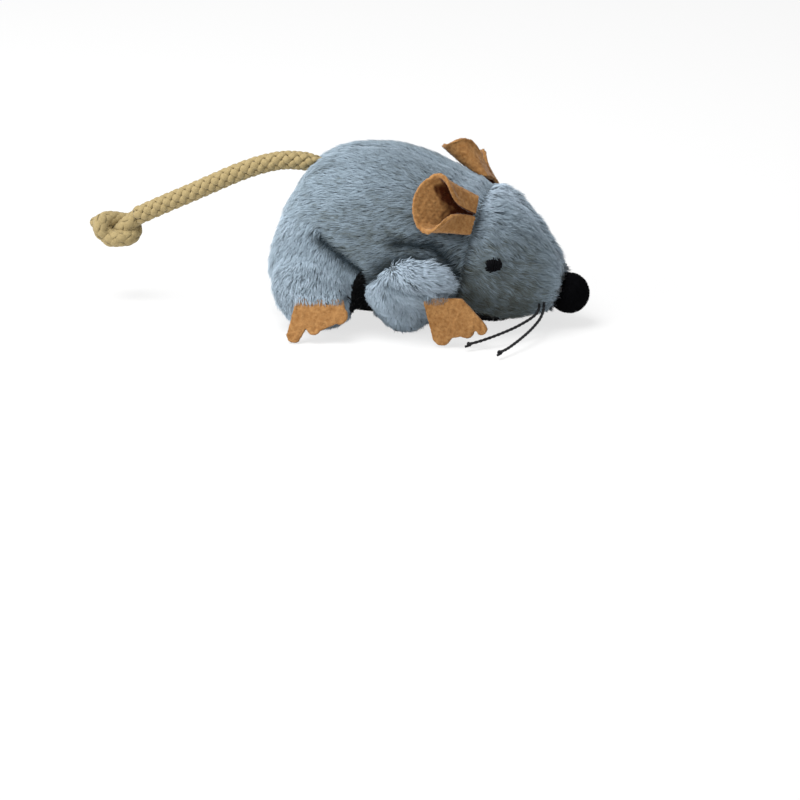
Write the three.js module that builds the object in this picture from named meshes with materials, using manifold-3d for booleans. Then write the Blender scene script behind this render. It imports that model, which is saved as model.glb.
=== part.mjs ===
// Plush mouse cat toy: stuffed pile cloth, felt ears and paws, a rope tail, a black nose and cord whiskers.
// Millimetres, +Z up, +X towards the nose. The origin lies on the surface the toy rests on, below its middle.
import * as THREE from "three";
import { mergeVertices } from "three/addons/utils/BufferGeometryUtils.js";
import Module from "manifold-3d";

// Body and head
const bodyLength = 95.8;
const bodyHeight = 56;
const bodyWidth = 54;
const rumpReach = 50.8; // from the origin back to the rump
const skinThickness = 2.4; // backing cloth with its pile pressed down
const seamGap = 0.3;
const restFlat = 0.5; // how far a resting form is pressed flat
const neckLeanAngle = 12;
const neckShare = 0.69;
const bellyLength = 68;
const bellyWidth = 43;
const bellyMiddleShare = 0.47;
const bellyTopShare = 0.35;
const sectionPower = 2.15; // 2 is an ellipse, more is squarer
const bodyRings = 28;
const bodySides = 24;
const hollowRings = 20;
const hollowSides = 16;
const bellySides = 20;

// The side and plan outlines at equal turns from the rump to the muzzle, as shares of the height and width
const topShares = [
  0.286, 0.375, 0.54, 0.73, 0.885, 0.965, 1, 1, 0.963, 0.898, 0.816, 0.8, 0.69, 0.556, 0.437, 0.329, 0.25,
];
const bottomShares = [
  0.286, 0.225, 0.14, 0.08, 0.055, 0.048, 0.047, 0.045, 0.04, 0.032, 0.024, 0.022, 0.038, 0.073, 0.113,
  0.166, 0.25,
];
const wideShares = [
  0, 0.296, 0.537, 0.733, 0.867, 0.948, 0.993, 1, 0.985, 0.937, 0.844, 0.785, 0.637, 0.489, 0.356, 0.193, 0,
];

// Legs: each is a pouch of overlapping lobes, and each lobe has a length, a depth and a height
const legSkin = 1.4;
const thighLength = 31;
const thighDepth = 24;
const thighHeight = 29.4;
const shankLength = 16.4;
const shankDepth = 18;
const shankHeight = 18;
const elbowLength = 14;
const elbowDepth = 14;
const elbowHeight = 16;
const upperArmLength = 26.6;
const upperArmDepth = 18;
const upperArmHeight = 18.6;
const forearmLength = 20;
const forearmDepth = 18;
const forearmHeight = 18;
const thighPlaceShares = [0.197, 0.63];
const shankPlaceShares = [0.248, 0.74, 0.21];
const upperArmPlaceShares = [0.519, 0.785, 0.348];
const elbowPlaceShares = [0.431, 0.815, 0.261];
const forearmPlaceShares = [0.473, 0.57];
const pouchSides = [12, 8];
const pouchHollowSides = [10, 6];

// Felt ears and paws
const feltThickness = 1.2;
const earLength = 18.5;
const earRoot = 1.5; // felt ahead of the seam before it is trimmed
const earRootFlat = 4.8; // from the middle of the felt's back to its fold
const earTipFlat = 5.6;
const earRootFold = 0.95; // radius of the fold
const earTipFold = 3.8;
const earFoldPower = 1.2; // how late the fold widens towards the tip
const earRootTurn = 3.05; // radians that each side folds over
const earTipTurn = 1.3;
const earTurnPower = 4.6;
const earRootFlap = 4.6; // felt beyond the fold
const earTipFlap = 0.6;
const earFlapPower = 3;
const earCornerShare = 0.3; // how much shorter the felt is at its edges than at its middle
const earCornerPower = 2;
const earSteps = [12, 24];
const earFoldSteps = [0.25, 0.83]; // shares of the steps across at which the fold starts and ends
const earPlaceShares = [0.686, 0.645, 0.708];
const rightEarAngles = [24, 19, 34, 19]; // sweep outwards, rise, lean and tip forwards
const leftEarAngles = [30, 28, 70, 0];
const pawRoot = 1.5;
const frontPawWidth = 12.5;
const frontPawReach = 14.4;
const frontPawTilt = 6;
const hindPawWidth = 14.5;
const hindPawReach = 12.7;
const hindPawTilt = 25;
const toeRadius = 3;
const toeSides = 6;
const toeSpreadAngle = 78; // how far each toe's arc runs to either side of its tip
const frontWristShares = [0.73, 0.8, -0.57]; // from the middle of the upper arm, as shares of its half sizes
const hindWristShares = [0.15, 1.02, -0.136];
const frontToeTurns = [1, 43, 58];
const frontToeReachShares = [0.735, 0.79, 1];
const frontToeRadiusShares = [1, 0.85, 0.67];
const hindToeTurns = [-35, -10, 61];
const hindToeReachShares = [1, 0.62, 0.57];
const hindToeRadiusShares = [0.8, 0.75, 0.93];

// Nose and eyes
const noseDiameter = 12.8;
const noseSides = [24, 14];
const nosePlaceShares = [0.9937, 0, 0.182];
const eyeDiameter = 4.8;
const eyeBulge = 0.9;
const eyeSides = [14, 10];
const eyePlaceShares = [0.782, 0.57];

// Cords
const ropeDiameter = 6;
const ropeSides = 12;
const ropeSteps = 6;
const whiskerDiameter = 1;
const whiskerKnot = 1.7;
const whiskerKnotSides = [8, 6];
const whiskerSides = 8;
const whiskerSteps = 16;
const tailRoute = [
  [-28, 0, 47],
  [-34.5, 0, 48.3],
  [-41.5, 0, 48.9],
  [-47, 0, 48.7],
  [-53.4, 0, 47.1],
  [-61, 0, 44.1],
  [-68.6, 0, 40.4],
  [-76.3, 0, 36.6],
  [-84, 0, 32.9],
  [-91.3, 0, 29.3],
  [-97, 0, 26],
];
const innerWhiskerRoute = [
  [35.2, -8.3, 11.2],
  [36.5, -11, 9],
  [35.7, -14.8, 7.2],
  [31.6, -20, 5.4],
  [27.2, -24.4, 4.2],
  [21.7, -28.6, 2.9],
  [17.6, -31.2, 2.2],
];
const outerWhiskerRoute = [
  [36.6, -7.6, 11.4],
  [37.9, -10.2, 9.2],
  [37.6, -14.8, 6.7],
  [35.9, -20.4, 5],
  [33.6, -26.4, 3.8],
  [30.4, -33, 2.5],
  [28.1, -36.9, 2.1],
];
const knotMiddle = [-100.8, 0, 22.8];
const knotLength = 15.4;
const knotDepth = 11;
const knotHeight = 10.6;
const knotSides = [16, 10];
const bightCapSteps = 4;
const foreBightShares = [0.42, 0, 0.06]; // the knot's two upright turns, as shares of its half sizes
const foreBightAngle = 20;
const endBightShares = [-0.66, 0, 0.2];
const endBightAngle = -15;

const cutOverrun = 20;
const stepShare = 0.001; // a small step along a surface to find its slope

const wasm = await Module();
wasm.setup();

function solidOf(geometry) {
  const bare = geometry.clone();
  bare.deleteAttribute("normal");
  bare.deleteAttribute("uv");
  const merged = mergeVertices(bare, seamGap / 1000);
  const mesh = new wasm.Mesh({
    numProp: 3,
    vertProperties: new Float32Array(merged.attributes.position.array),
    triVerts: new Uint32Array(merged.index.array),
  });
  return new wasm.Manifold(mesh);
}

function geometryOf(solid) {
  const mesh = solid.getMesh();
  const geometry = new THREE.BufferGeometry();
  geometry.setAttribute("position", new THREE.Float32BufferAttribute(mesh.vertProperties, 3));
  geometry.setIndex(Array.from(mesh.triVerts));
  geometry.computeVertexNormals();
  return geometry;
}

function closedMesh(points, faces) {
  const geometry = new THREE.BufferGeometry().setFromPoints(points);
  geometry.setIndex(faces);
  return geometry;
}

// A place given as shares of the body's length, half width (to the right side, -Y) and height
function place([alongShare, acrossShare, upShare]) {
  return new THREE.Vector3(
    alongShare * bodyLength - rumpReach,
    (-acrossShare * bodyWidth) / 2,
    upShare * bodyHeight,
  );
}

// The middle of a lobe: one without a height share rests on the floor
function lobeMiddle([alongShare, acrossShare, upShare], height) {
  const middle = place([alongShare, acrossShare, upShare ?? 0]);
  if (upShare === undefined) middle.z = height / 2 - restFlat;
  return middle;
}

const outline = new THREE.CatmullRomCurve3(
  topShares.map((topShare, i) => new THREE.Vector3(topShare, bottomShares[i], wideShares[i])),
);

// The body's section at a turn from 0 at the rump to 1 at the muzzle, grown outwards by grow
function section(turn, grow) {
  const share = outline.getPoint(turn);
  const high = (Math.max(share.x - share.y, 0) * bodyHeight) / 2;
  const wide = (Math.max(share.z, 0) * bodyWidth) / 2;
  return {
    x: (bodyLength * (1 - Math.cos(Math.PI * turn))) / 2 - rumpReach - grow * Math.cos(Math.PI * turn),
    middle: ((share.x + share.y) * bodyHeight) / 2 - restFlat,
    high: Math.max(high + grow, high / 4),
    wide: Math.max(wide + grow, wide / 4),
  };
}

function ringPoint({ x, middle, high, wide }, angle) {
  const bulge = (value) => Math.sign(value) * Math.abs(value) ** (2 / sectionPower);
  return new THREE.Vector3(x, wide * bulge(Math.sin(angle)), middle + high * bulge(Math.cos(angle)));
}

// The closed form of body and head together: rings from the rump to the muzzle and a point at each end
function bodyForm(grow, ringCount, sideCount) {
  const points = [];
  const faces = [];
  for (let ring = 1; ring < ringCount; ring += 1) {
    const cut = section(ring / ringCount, grow);
    for (let side = 0; side < sideCount; side += 1) {
      points.push(ringPoint(cut, (2 * Math.PI * side) / sideCount));
    }
  }
  const rump = points.push(ringPoint(section(0, grow), 0)) - 1;
  const muzzle = points.push(ringPoint(section(1, grow), 0)) - 1;
  const lastRing = (ringCount - 2) * sideCount;
  for (let side = 0; side < sideCount; side += 1) {
    const next = (side + 1) % sideCount;
    faces.push(rump, side, next, muzzle, lastRing + next, lastRing + side);
    for (let ring = 0; ring < ringCount - 2; ring += 1) {
      const here = ring * sideCount;
      const ahead = here + sideCount;
      faces.push(here + side, ahead + side, ahead + next, here + side, ahead + next, here + next);
    }
  }
  return solidOf(closedMesh(points, faces));
}

// A box that starts at a point and reaches out along one direction, wide enough to cut the whole toy
function cuttingBlock(start, direction) {
  const size = 2 * (bodyLength + bodyHeight + cutOverrun);
  const geometry = new THREE.BoxGeometry(size, size, size);
  geometry.translate(size / 2, 0, 0);
  const turn = new THREE.Quaternion().setFromUnitVectors(new THREE.Vector3(1, 0, 0), direction);
  geometry.applyQuaternion(turn);
  geometry.translate(start.x, start.y, start.z);
  return solidOf(geometry);
}

function lobe(middle, length, depth, height, grow, sides) {
  const geometry = new THREE.SphereGeometry(1, ...sides);
  geometry.rotateX(Math.PI / 2);
  geometry.scale(length / 2 + grow, depth / 2 + grow, height / 2 + grow);
  geometry.translate(middle.x, middle.y, middle.z);
  return solidOf(geometry);
}

function cordAlong(route, diameter, sides, steps) {
  const curve = new THREE.CatmullRomCurve3(route.map((point) => new THREE.Vector3(...point)));
  const round = new THREE.Shape();
  for (let side = 0; side < sides; side += 1) {
    const angle = (2 * Math.PI * side) / sides;
    const corner = [(Math.cos(angle) * diameter) / 2, (Math.sin(angle) * diameter) / 2];
    if (side === 0) round.moveTo(...corner);
    else round.lineTo(...corner);
  }
  return solidOf(new THREE.ExtrudeGeometry(round, { steps, extrudePath: curve, curveSegments: 1 }));
}

const origin = new THREE.Vector3();
const up = new THREE.Vector3(0, 0, 1);
const rightwards = new THREE.Vector3(0, -1, 0);
const bodySolid = bodyForm(0, bodyRings, bodySides);
const bodyWithGap = bodyForm(seamGap, bodyRings, bodySides);
const belowFloor = cuttingBlock(origin, up.clone().negate());

// Cloth skins: right and left back panels, right and left head panels, and the belly panel below them all
const noseMiddle = place(nosePlaceShares);
const noseSolid = lobe(noseMiddle, noseDiameter, noseDiameter, noseDiameter, 0, noseSides);
const noseSeat = lobe(noseMiddle, noseDiameter, noseDiameter, noseDiameter, seamGap, noseSides);

const neckMiddle = place([neckShare, 0, 0.5]);
const ahead = new THREE.Vector3(1, 0, 0).applyAxisAngle(
  new THREE.Vector3(0, 1, 0),
  THREE.MathUtils.degToRad(neckLeanAngle),
);
const aheadOfNeck = cuttingBlock(neckMiddle.clone().addScaledVector(ahead, seamGap / 2), ahead);
const behindNeck = cuttingBlock(
  neckMiddle.clone().addScaledVector(ahead, -seamGap / 2),
  ahead.clone().negate(),
);
const rightHalf = cuttingBlock(rightwards.clone().multiplyScalar(seamGap / 2), rightwards);

function bellyPrism(grow) {
  const plan = new THREE.Shape();
  const bellyX = bellyMiddleShare * bodyLength - rumpReach;
  plan.absellipse(bellyX, 0, bellyLength / 2 + grow, bellyWidth / 2 + grow, 0, 2 * Math.PI);
  const geometry = new THREE.ExtrudeGeometry(plan, {
    depth: bellyTopShare * bodyHeight + cutOverrun,
    bevelEnabled: false,
    curveSegments: bellySides,
  });
  geometry.translate(0, 0, -cutOverrun);
  return solidOf(geometry);
}

const hollow = bodyForm(-skinThickness, hollowRings, hollowSides);
const shell = bodySolid.subtract(hollow).subtract(belowFloor).subtract(noseSeat);
const sideSkin = shell.subtract(bellyPrism(seamGap)).intersect(rightHalf);
const backPanel = sideSkin.intersect(behindNeck);
const headPanel = sideSkin.intersect(aheadOfNeck);
const bellyPanel = shell.intersect(bellyPrism(0));
const stuffing = bodyForm(-skinThickness - seamGap, hollowRings, hollowSides).subtract(noseSeat);

// Legs: a cloth pouch open where it is sewn to the body, with its own filling
function legPouch(lobes) {
  const grown = (grow, sides) =>
    lobes
      .map(([placeShares, length, depth, height]) =>
        lobe(lobeMiddle(placeShares, height), length, depth, height, grow, sides),
      )
      .reduce((sum, next) => sum.add(next));
  const outside = grown(0, pouchSides);
  return {
    skin: outside.subtract(grown(-legSkin, pouchHollowSides)).subtract(bodyWithGap).subtract(belowFloor),
    filling: grown(-legSkin - seamGap, pouchHollowSides).subtract(bodyWithGap),
    withGap: grown(seamGap, pouchSides),
  };
}

const hindLeg = legPouch([
  [thighPlaceShares, thighLength, thighDepth, thighHeight],
  [shankPlaceShares, shankLength, shankDepth, shankHeight],
]);
const frontLeg = legPouch([
  [upperArmPlaceShares, upperArmLength, upperArmDepth, upperArmHeight],
  [elbowPlaceShares, elbowLength, elbowDepth, elbowHeight],
  [forearmPlaceShares, forearmLength, forearmDepth, forearmHeight],
]);

// Felt paw: a wrist and three round toes, cut from sheet and hanging outwards from the leg's seam
function pawOutline(width, reach, toeTurns, toeReachShares, toeRadiusShares) {
  const paw = new THREE.Shape();
  paw.moveTo(width / 2, pawRoot);
  paw.lineTo(-width / 2, pawRoot);
  toeTurns.forEach((turn, toe) => {
    const angle = THREE.MathUtils.degToRad(turn - 90);
    const toeReach = toeReachShares[toe] * reach;
    const spread = THREE.MathUtils.degToRad(toeSpreadAngle);
    paw.absarc(
      Math.cos(angle) * toeReach,
      Math.sin(angle) * toeReach,
      toeRadiusShares[toe] * toeRadius,
      angle - spread,
      angle + spread,
      false,
    );
  });
  return paw;
}

function feltPaw(wrist, tilt, outlineShape) {
  const geometry = new THREE.ExtrudeGeometry(outlineShape, {
    depth: feltThickness,
    bevelEnabled: false,
    curveSegments: toeSides,
  });
  geometry.translate(0, 0, -feltThickness);
  geometry.rotateX(Math.PI / 2 - THREE.MathUtils.degToRad(tilt));
  geometry.translate(wrist.x, wrist.y, wrist.z);
  return solidOf(geometry);
}

function wristOn(placeShares, length, depth, height, offsetShares) {
  const middle = lobeMiddle(placeShares, height);
  return new THREE.Vector3(
    middle.x + (offsetShares[0] * length) / 2,
    middle.y - (offsetShares[1] * depth) / 2,
    middle.z + (offsetShares[2] * height) / 2,
  );
}

const frontWrist = wristOn(
  upperArmPlaceShares,
  upperArmLength,
  upperArmDepth,
  upperArmHeight,
  frontWristShares,
);
const hindWrist = wristOn(thighPlaceShares, thighLength, thighDepth, thighHeight, hindWristShares);
const frontPaw = feltPaw(
  frontWrist,
  frontPawTilt,
  pawOutline(frontPawWidth, frontPawReach, frontToeTurns, frontToeReachShares, frontToeRadiusShares),
).subtract(frontLeg.withGap);
const hindPaw = feltPaw(
  hindWrist,
  hindPawTilt,
  pawOutline(hindPawWidth, hindPawReach, hindToeTurns, hindToeReachShares, hindToeRadiusShares),
).subtract(hindLeg.withGap);

// Felt ear: one sheet whose sides fold over to meet at the root and open into a cup towards the tip
function easedBetween(root, tip, share, power) {
  return THREE.MathUtils.lerp(root, tip, Math.max(share, 0) ** power);
}

// One side of the felt: flat back, round fold and flat flap. The step across it runs from 0 to 1
function foldedSide(step, alongShare) {
  const flat = easedBetween(earRootFlat, earTipFlat, alongShare, 1);
  const radius = easedBetween(earRootFold, earTipFold, alongShare, earFoldPower);
  const turn = easedBetween(earRootTurn, earTipTurn, alongShare, earTurnPower);
  const flap = easedBetween(earRootFlap, earTipFlap, alongShare, earFlapPower);
  const [foldStart, foldEnd] = earFoldSteps;
  const before = flat * Math.min(step / foldStart, 1);
  const angle = turn * THREE.MathUtils.clamp((step - foldStart) / (foldEnd - foldStart), 0, 1);
  const beyond = (flap * Math.max(step - foldEnd, 0)) / (1 - foldEnd);
  return {
    across: before + radius * Math.sin(angle) + beyond * Math.cos(turn),
    high: radius * (1 - Math.cos(angle)) + beyond * Math.sin(turn),
    used: (before + radius * angle + beyond) / (flat + radius * turn + flap),
  };
}

function earSheet(angles) {
  const [sweep, rise, lean, tip] = angles.map(THREE.MathUtils.degToRad);
  const back = new THREE.Vector3(
    -Math.cos(rise) * Math.cos(sweep),
    -Math.cos(rise) * Math.sin(sweep),
    Math.sin(rise),
  );
  const upwards = new THREE.Vector3(Math.tan(tip), Math.sin(lean), Math.cos(lean));
  upwards.addScaledVector(back, -upwards.dot(back)).normalize();
  const outwards = upwards.clone().cross(back);
  return (alongShare, acrossShare) => {
    const { across, high, used } = foldedSide(Math.abs(acrossShare), alongShare);
    const rounding = 1 - earCornerShare * used ** earCornerPower;
    return place(earPlaceShares)
      .addScaledVector(back, alongShare * (earLength + earRoot) * rounding - earRoot)
      .addScaledVector(upwards, Math.sign(acrossShare) * across)
      .addScaledVector(outwards, high);
  };
}

// A curved sheet of one thickness, from a surface given over 0..1 along and -1..1 across
function sheetSolid(surface, thickness, alongSteps, acrossSteps) {
  const points = [];
  const faces = [];
  const rowSize = acrossSteps + 1;
  const layerSize = rowSize * (alongSteps + 1);
  for (const side of [1, -1]) {
    for (let i = 0; i <= alongSteps; i += 1) {
      for (let j = 0; j <= acrossSteps; j += 1) {
        const alongShare = i / alongSteps;
        const acrossShare = (2 * j) / acrossSteps - 1;
        const middle = surface(alongShare, acrossShare);
        const along = surface(alongShare + stepShare, acrossShare).sub(middle);
        const across = surface(alongShare, acrossShare + stepShare).sub(middle);
        const normal = across.cross(along).normalize();
        points.push(middle.addScaledVector(normal, (side * thickness) / 2));
      }
    }
  }
  const quad = (a, b, c, d) => faces.push(a, b, c, a, c, d);
  for (let i = 0; i < alongSteps; i += 1) {
    for (let j = 0; j < acrossSteps; j += 1) {
      const corner = i * rowSize + j;
      quad(corner, corner + 1, corner + rowSize + 1, corner + rowSize);
      const under = corner + layerSize;
      quad(under, under + rowSize, under + rowSize + 1, under + 1);
    }
  }
  for (let j = 0; j < acrossSteps; j += 1) {
    const tip = alongSteps * rowSize + j;
    quad(j + 1, j, j + layerSize, j + 1 + layerSize);
    quad(tip, tip + 1, tip + 1 + layerSize, tip + layerSize);
  }
  for (let i = 0; i < alongSteps; i += 1) {
    const low = i * rowSize;
    const high = low + acrossSteps;
    quad(low, low + rowSize, low + rowSize + layerSize, low + layerSize);
    quad(high + rowSize, high, high + layerSize, high + rowSize + layerSize);
  }
  return solidOf(closedMesh(points, faces));
}

function feltEar(angles) {
  return sheetSolid(earSheet(angles), feltThickness, ...earSteps).subtract(bodyWithGap);
}

// Embroidered eye: a low pad of thread on the head's side
function surfacePoint(turn, upShare) {
  const cut = section(turn, 0);
  const angle = Math.PI + Math.acos(-2 * upShare + 1);
  return ringPoint(cut, angle);
}

function surfaceNormal(turn, upShare) {
  const here = surfacePoint(turn, upShare);
  const along = surfacePoint(turn + stepShare, upShare).sub(here);
  const round = surfacePoint(turn, upShare + stepShare).sub(here);
  return along.cross(round).normalize();
}

function turnAt(alongShare) {
  return Math.acos(1 - 2 * alongShare) / Math.PI;
}

const eyeTurn = turnAt(eyePlaceShares[0]);
const eyeMiddle = surfacePoint(eyeTurn, eyePlaceShares[1]);
const eyeGeometry = new THREE.SphereGeometry(1, ...eyeSides);
eyeGeometry.scale(eyeDiameter / 2, eyeBulge, eyeDiameter / 2);
eyeGeometry.applyQuaternion(
  new THREE.Quaternion().setFromUnitVectors(
    new THREE.Vector3(0, 1, 0),
    surfaceNormal(eyeTurn, eyePlaceShares[1]),
  ),
);
eyeGeometry.translate(eyeMiddle.x, eyeMiddle.y, eyeMiddle.z);
const eye = solidOf(eyeGeometry).subtract(bodyWithGap);

// Whiskers: waxed cords from the muzzle, each ending in a small knot
function whisker(route) {
  const end = new THREE.Vector3(...route.at(-1));
  return cordAlong(route, whiskerDiameter, whiskerSides, whiskerSteps)
    .add(lobe(end, whiskerKnot, whiskerKnot, whiskerKnot, 0, whiskerKnotSides))
    .subtract(bodyWithGap);
}

// Tail: a cotton rope sewn into the back seam and tied in one overhand knot near its end
function knotBight(offsetShares, turnAngle) {
  const geometry = new THREE.CapsuleGeometry(
    ropeDiameter / 2,
    knotHeight - ropeDiameter,
    bightCapSteps,
    ropeSides,
  );
  geometry.rotateY(THREE.MathUtils.degToRad(turnAngle));
  geometry.rotateZ(THREE.MathUtils.degToRad(turnAngle));
  const middle = new THREE.Vector3(...knotMiddle);
  geometry.translate(
    middle.x + (offsetShares[0] * knotLength) / 2,
    middle.y + (offsetShares[1] * knotDepth) / 2,
    middle.z + (offsetShares[2] * knotHeight) / 2,
  );
  return solidOf(geometry);
}

const knotCore = lobe(new THREE.Vector3(...knotMiddle), knotLength, knotDepth, knotHeight, 0, knotSides);
const tail = cordAlong(tailRoute, ropeDiameter, ropeSides, ropeSteps)
  .subtract(bodyWithGap)
  .add(knotCore)
  .add(knotBight(foreBightShares, foreBightAngle))
  .add(knotBight(endBightShares, endBightAngle));

// Assembly
const mouse = new THREE.Group();
const pileCloth = { color: 0x8ea0ae, roughness: 0.95, metalness: 0 };
const blackCloth = { color: 0x0d0d0e, roughness: 0.9, metalness: 0 };
const felt = { color: 0xa77e51, roughness: 0.95, metalness: 0 };
const fibre = { color: 0xf2f0ea, roughness: 1, metalness: 0 };
const thread = { color: 0x0a0a0b, roughness: 0.6, metalness: 0 };
const waxedCord = { color: 0x101011, roughness: 0.5, metalness: 0 };
const cottonRope = { color: 0x96804f, roughness: 0.95, metalness: 0 };

function addPiece(name, solid, look) {
  const mesh = new THREE.Mesh(geometryOf(solid), new THREE.MeshStandardMaterial(look));
  mesh.name = name;
  mouse.add(mesh);
  return mesh;
}

// The right piece as made, and its mirror image on the left
function addPair(name, solid, look) {
  addPiece(`${name}_right`, solid, look);
  addPiece(`${name}_left`, solid, look).scale.set(1, -1, 1);
}

addPair("back_panel", backPanel, pileCloth);
addPair("head_panel", headPanel, pileCloth);
addPiece("belly_panel", bellyPanel, blackCloth);
addPiece("body_stuffing", stuffing, fibre);
addPair("hind_leg", hindLeg.skin, pileCloth);
addPair("hind_leg_stuffing", hindLeg.filling, fibre);
addPair("front_leg", frontLeg.skin, pileCloth);
addPair("front_leg_stuffing", frontLeg.filling, fibre);
addPair("hind_paw", hindPaw, felt);
addPair("front_paw", frontPaw, felt);
addPiece("ear_right", feltEar(rightEarAngles), felt);
addPiece("ear_left", feltEar(leftEarAngles), felt).scale.set(1, -1, 1);
addPair("eye", eye, thread);
addPiece("nose", noseSolid, blackCloth);
addPair("inner_whisker", whisker(innerWhiskerRoute), waxedCord);
addPair("outer_whisker", whisker(outerWhiskerRoute), waxedCord);
addPiece("tail_rope", tail, cottonRope);

export default mouse;
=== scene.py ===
"""Dresses a small stuffed mouse: pile cloth, felt ears and paws, waxed whiskers and a braided rope tail."""

import functools
import math

import bpy
import numpy as np
from bpy.props import FloatProperty, FloatVectorProperty, IntProperty, PointerProperty
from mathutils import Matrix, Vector
from mathutils.bvhtree import BVHTree
from mathutils.kdtree import KDTree


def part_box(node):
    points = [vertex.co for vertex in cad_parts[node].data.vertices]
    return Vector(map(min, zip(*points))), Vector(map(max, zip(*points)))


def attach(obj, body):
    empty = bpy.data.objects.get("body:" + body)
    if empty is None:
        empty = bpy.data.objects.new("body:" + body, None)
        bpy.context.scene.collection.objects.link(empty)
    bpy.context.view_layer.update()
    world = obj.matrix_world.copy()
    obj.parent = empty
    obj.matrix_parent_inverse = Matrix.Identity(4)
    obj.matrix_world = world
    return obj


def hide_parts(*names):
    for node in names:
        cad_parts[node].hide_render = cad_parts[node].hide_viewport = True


bl_info = {
    "name": "Plush Mouse",
    "version": (1, 0, 0),
    "blender": (4, 5, 0),
    "location": "3D View > Sidebar > Plush Mouse",
    "description": "A stuffed mouse of pile cloth with felt ears and paws and a rope tail",
    "category": "Add Mesh",
}

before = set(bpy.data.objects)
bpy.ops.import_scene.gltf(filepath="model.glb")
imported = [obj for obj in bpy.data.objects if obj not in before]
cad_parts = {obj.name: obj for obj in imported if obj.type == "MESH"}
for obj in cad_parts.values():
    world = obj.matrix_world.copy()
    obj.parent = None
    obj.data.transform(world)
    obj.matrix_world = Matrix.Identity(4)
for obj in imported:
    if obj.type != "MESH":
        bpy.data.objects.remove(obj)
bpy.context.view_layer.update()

MM = 0.001
SIDES = ("right", "left")
PANELS = ("back_panel_right", "back_panel_left", "head_panel_right", "head_panel_left", "belly_panel")
HIND_LEGS = ("hind_leg_right", "hind_leg_left")
PATCHES = PANELS + HIND_LEGS
BODY = "stuffed_body"

# Sizes of the surfaces' grids, and the gap between sewn nodes that has to close
BODY_GRID = 1.0 * MM
LEG_GRID = 0.7 * MM
FELT_GRID = 0.3 * MM
NOSE_GRID = 0.5 * MM
SEAM_GAP = 0.25 * MM
FELT_GAP = 0.05 * MM
WELD = 0.001 * MM

CLOTH_THICKNESS = 0.45 * MM
NOSE_CLEARANCE = 6.5 * MM
EYE_BARE = 2.5 * MM
EYE_PARTING = 2.3 * MM
EYE_SHIFT = np.array((-0.6, 0, -1.1)) * MM
PAW_OVERHANG = 1.9 * MM
PILE_FLOOR = 0.15 * MM
FLOOR = 0.05 * MM

# The cords' routes, in metres
TAIL_ROUTE = [
    (-0.0345, 0, 0.0483),
    (-0.0415, 0, 0.0489),
    (-0.047, 0, 0.0487),
    (-0.0534, 0, 0.0471),
    (-0.061, 0, 0.0441),
    (-0.0686, 0, 0.0404),
    (-0.0763, 0, 0.0366),
    (-0.084, 0, 0.0329),
    (-0.0913, 0, 0.0293),
    (-0.094, 0, 0.0279),
]

# The knot's turns in millimetres from its middle: across, up and near, seen square to the knot's flat side
KNOT_MIDDLE = (-0.1012, 0, 0.0231)
KNOT_TURN = math.radians(10)
KNOT_TILT = math.radians(20)
KNOT_ROUTE = [
    (9.8, 5.5, 0.0),
    (7.4, 4.2, 0.6),
    (4.9, 2.3, 1.7),
    (3.0, 0.7, 1.1),
    (0.8, -1.1, -0.6),
    (-1.7, -2.2, -0.5),
    (-2.3, -2.7, 0.7),
    (-0.9, -3.1, 1.5),
    (1.8, -3.0, 2.0),
    (4.5, -2.4, 1.2),
    (5.7, 0.0, -0.8),
    (4.0, 2.2, -2.4),
    (0.8, 2.9, -1.9),
    (-2.6, 3.1, 0.0),
    (-4.5, 1.9, 1.5),
    (-4.3, -0.7, 1.4),
    (-2.2, -1.6, 0.2),
]
KNOT_END_ROUTE = [
    (-1.0, 0.7, -1.0),
    (-4.4, 1.8, -0.9),
    (-6.8, 2.2, -0.5),
    (-8.3, 2.3, -0.3),
]
INNER_WHISKER_ROUTE = [
    (0.0352, -0.0083, 0.0112),
    (0.0365, -0.011, 0.009),
    (0.0357, -0.0148, 0.0072),
    (0.0316, -0.02, 0.0054),
    (0.0272, -0.0244, 0.0042),
    (0.0217, -0.0286, 0.0029),
    (0.0176, -0.0312, 0.0022),
]
OUTER_WHISKER_ROUTE = [
    (0.0366, -0.0076, 0.0114),
    (0.0379, -0.0102, 0.0092),
    (0.0376, -0.0148, 0.0067),
    (0.0359, -0.0204, 0.005),
    (0.0336, -0.0264, 0.0038),
    (0.0304, -0.033, 0.0025),
    (0.0281, -0.0369, 0.0021),
]

# Each felt piece as cut: width, length and area
EAR_FLAT = (0.0305, 0.0195, 0.00053)
FRONT_PAW_FLAT = (0.0202, 0.0151, 0.0002)
HIND_PAW_FLAT = (0.0188, 0.0146, 0.000165)

# Folds pressed into the cloth of front leg, neck and haunch, as places along and above the toy
FRONT_FOLD = [(-0.0085, 0.0199), (0.0028, 0.0168)]
NECK_FOLD = [(-0.005, 0.0318), (0.006, 0.0308), (0.0105, 0.027), (0.0125, 0.021)]
HAUNCH_CREASE = [(-0.030, 0.0318), (-0.0245, 0.0281), (-0.0186, 0.024), (-0.016, 0.0216), (-0.0165, 0.016)]

# How far the black belly panel is drawn up between haunch and front leg: place along the toy, width and rise
BELLY_GAP = -17.5 * MM
BELLY_GAP_WIDTH = 3.8 * MM
BELLY_RISE = 9 * MM

# A tuft's faces: a triangle at its root, one at its middle and a tip
TUFT_SIDES = [(0, 1, 4), (0, 4, 3), (1, 2, 5), (1, 5, 4), (2, 0, 3), (2, 3, 5)]
TUFT_ENDS = [(3, 4, 6), (4, 5, 6), (5, 3, 6), (0, 2, 1)]


def length_property(name, description, default):
    return FloatProperty(
        name=name, description=description, default=default, min=0, unit="LENGTH", subtype="DISTANCE"
    )


def angle_property(name, description, degrees):
    return FloatProperty(
        name=name,
        description=description,
        default=math.radians(degrees),
        subtype="ANGLE",
        unit="ROTATION",
    )


def colour_property(name, description, default):
    return FloatVectorProperty(
        name=name, description=description, default=default, size=3, min=0, max=1, subtype="COLOR"
    )


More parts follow.
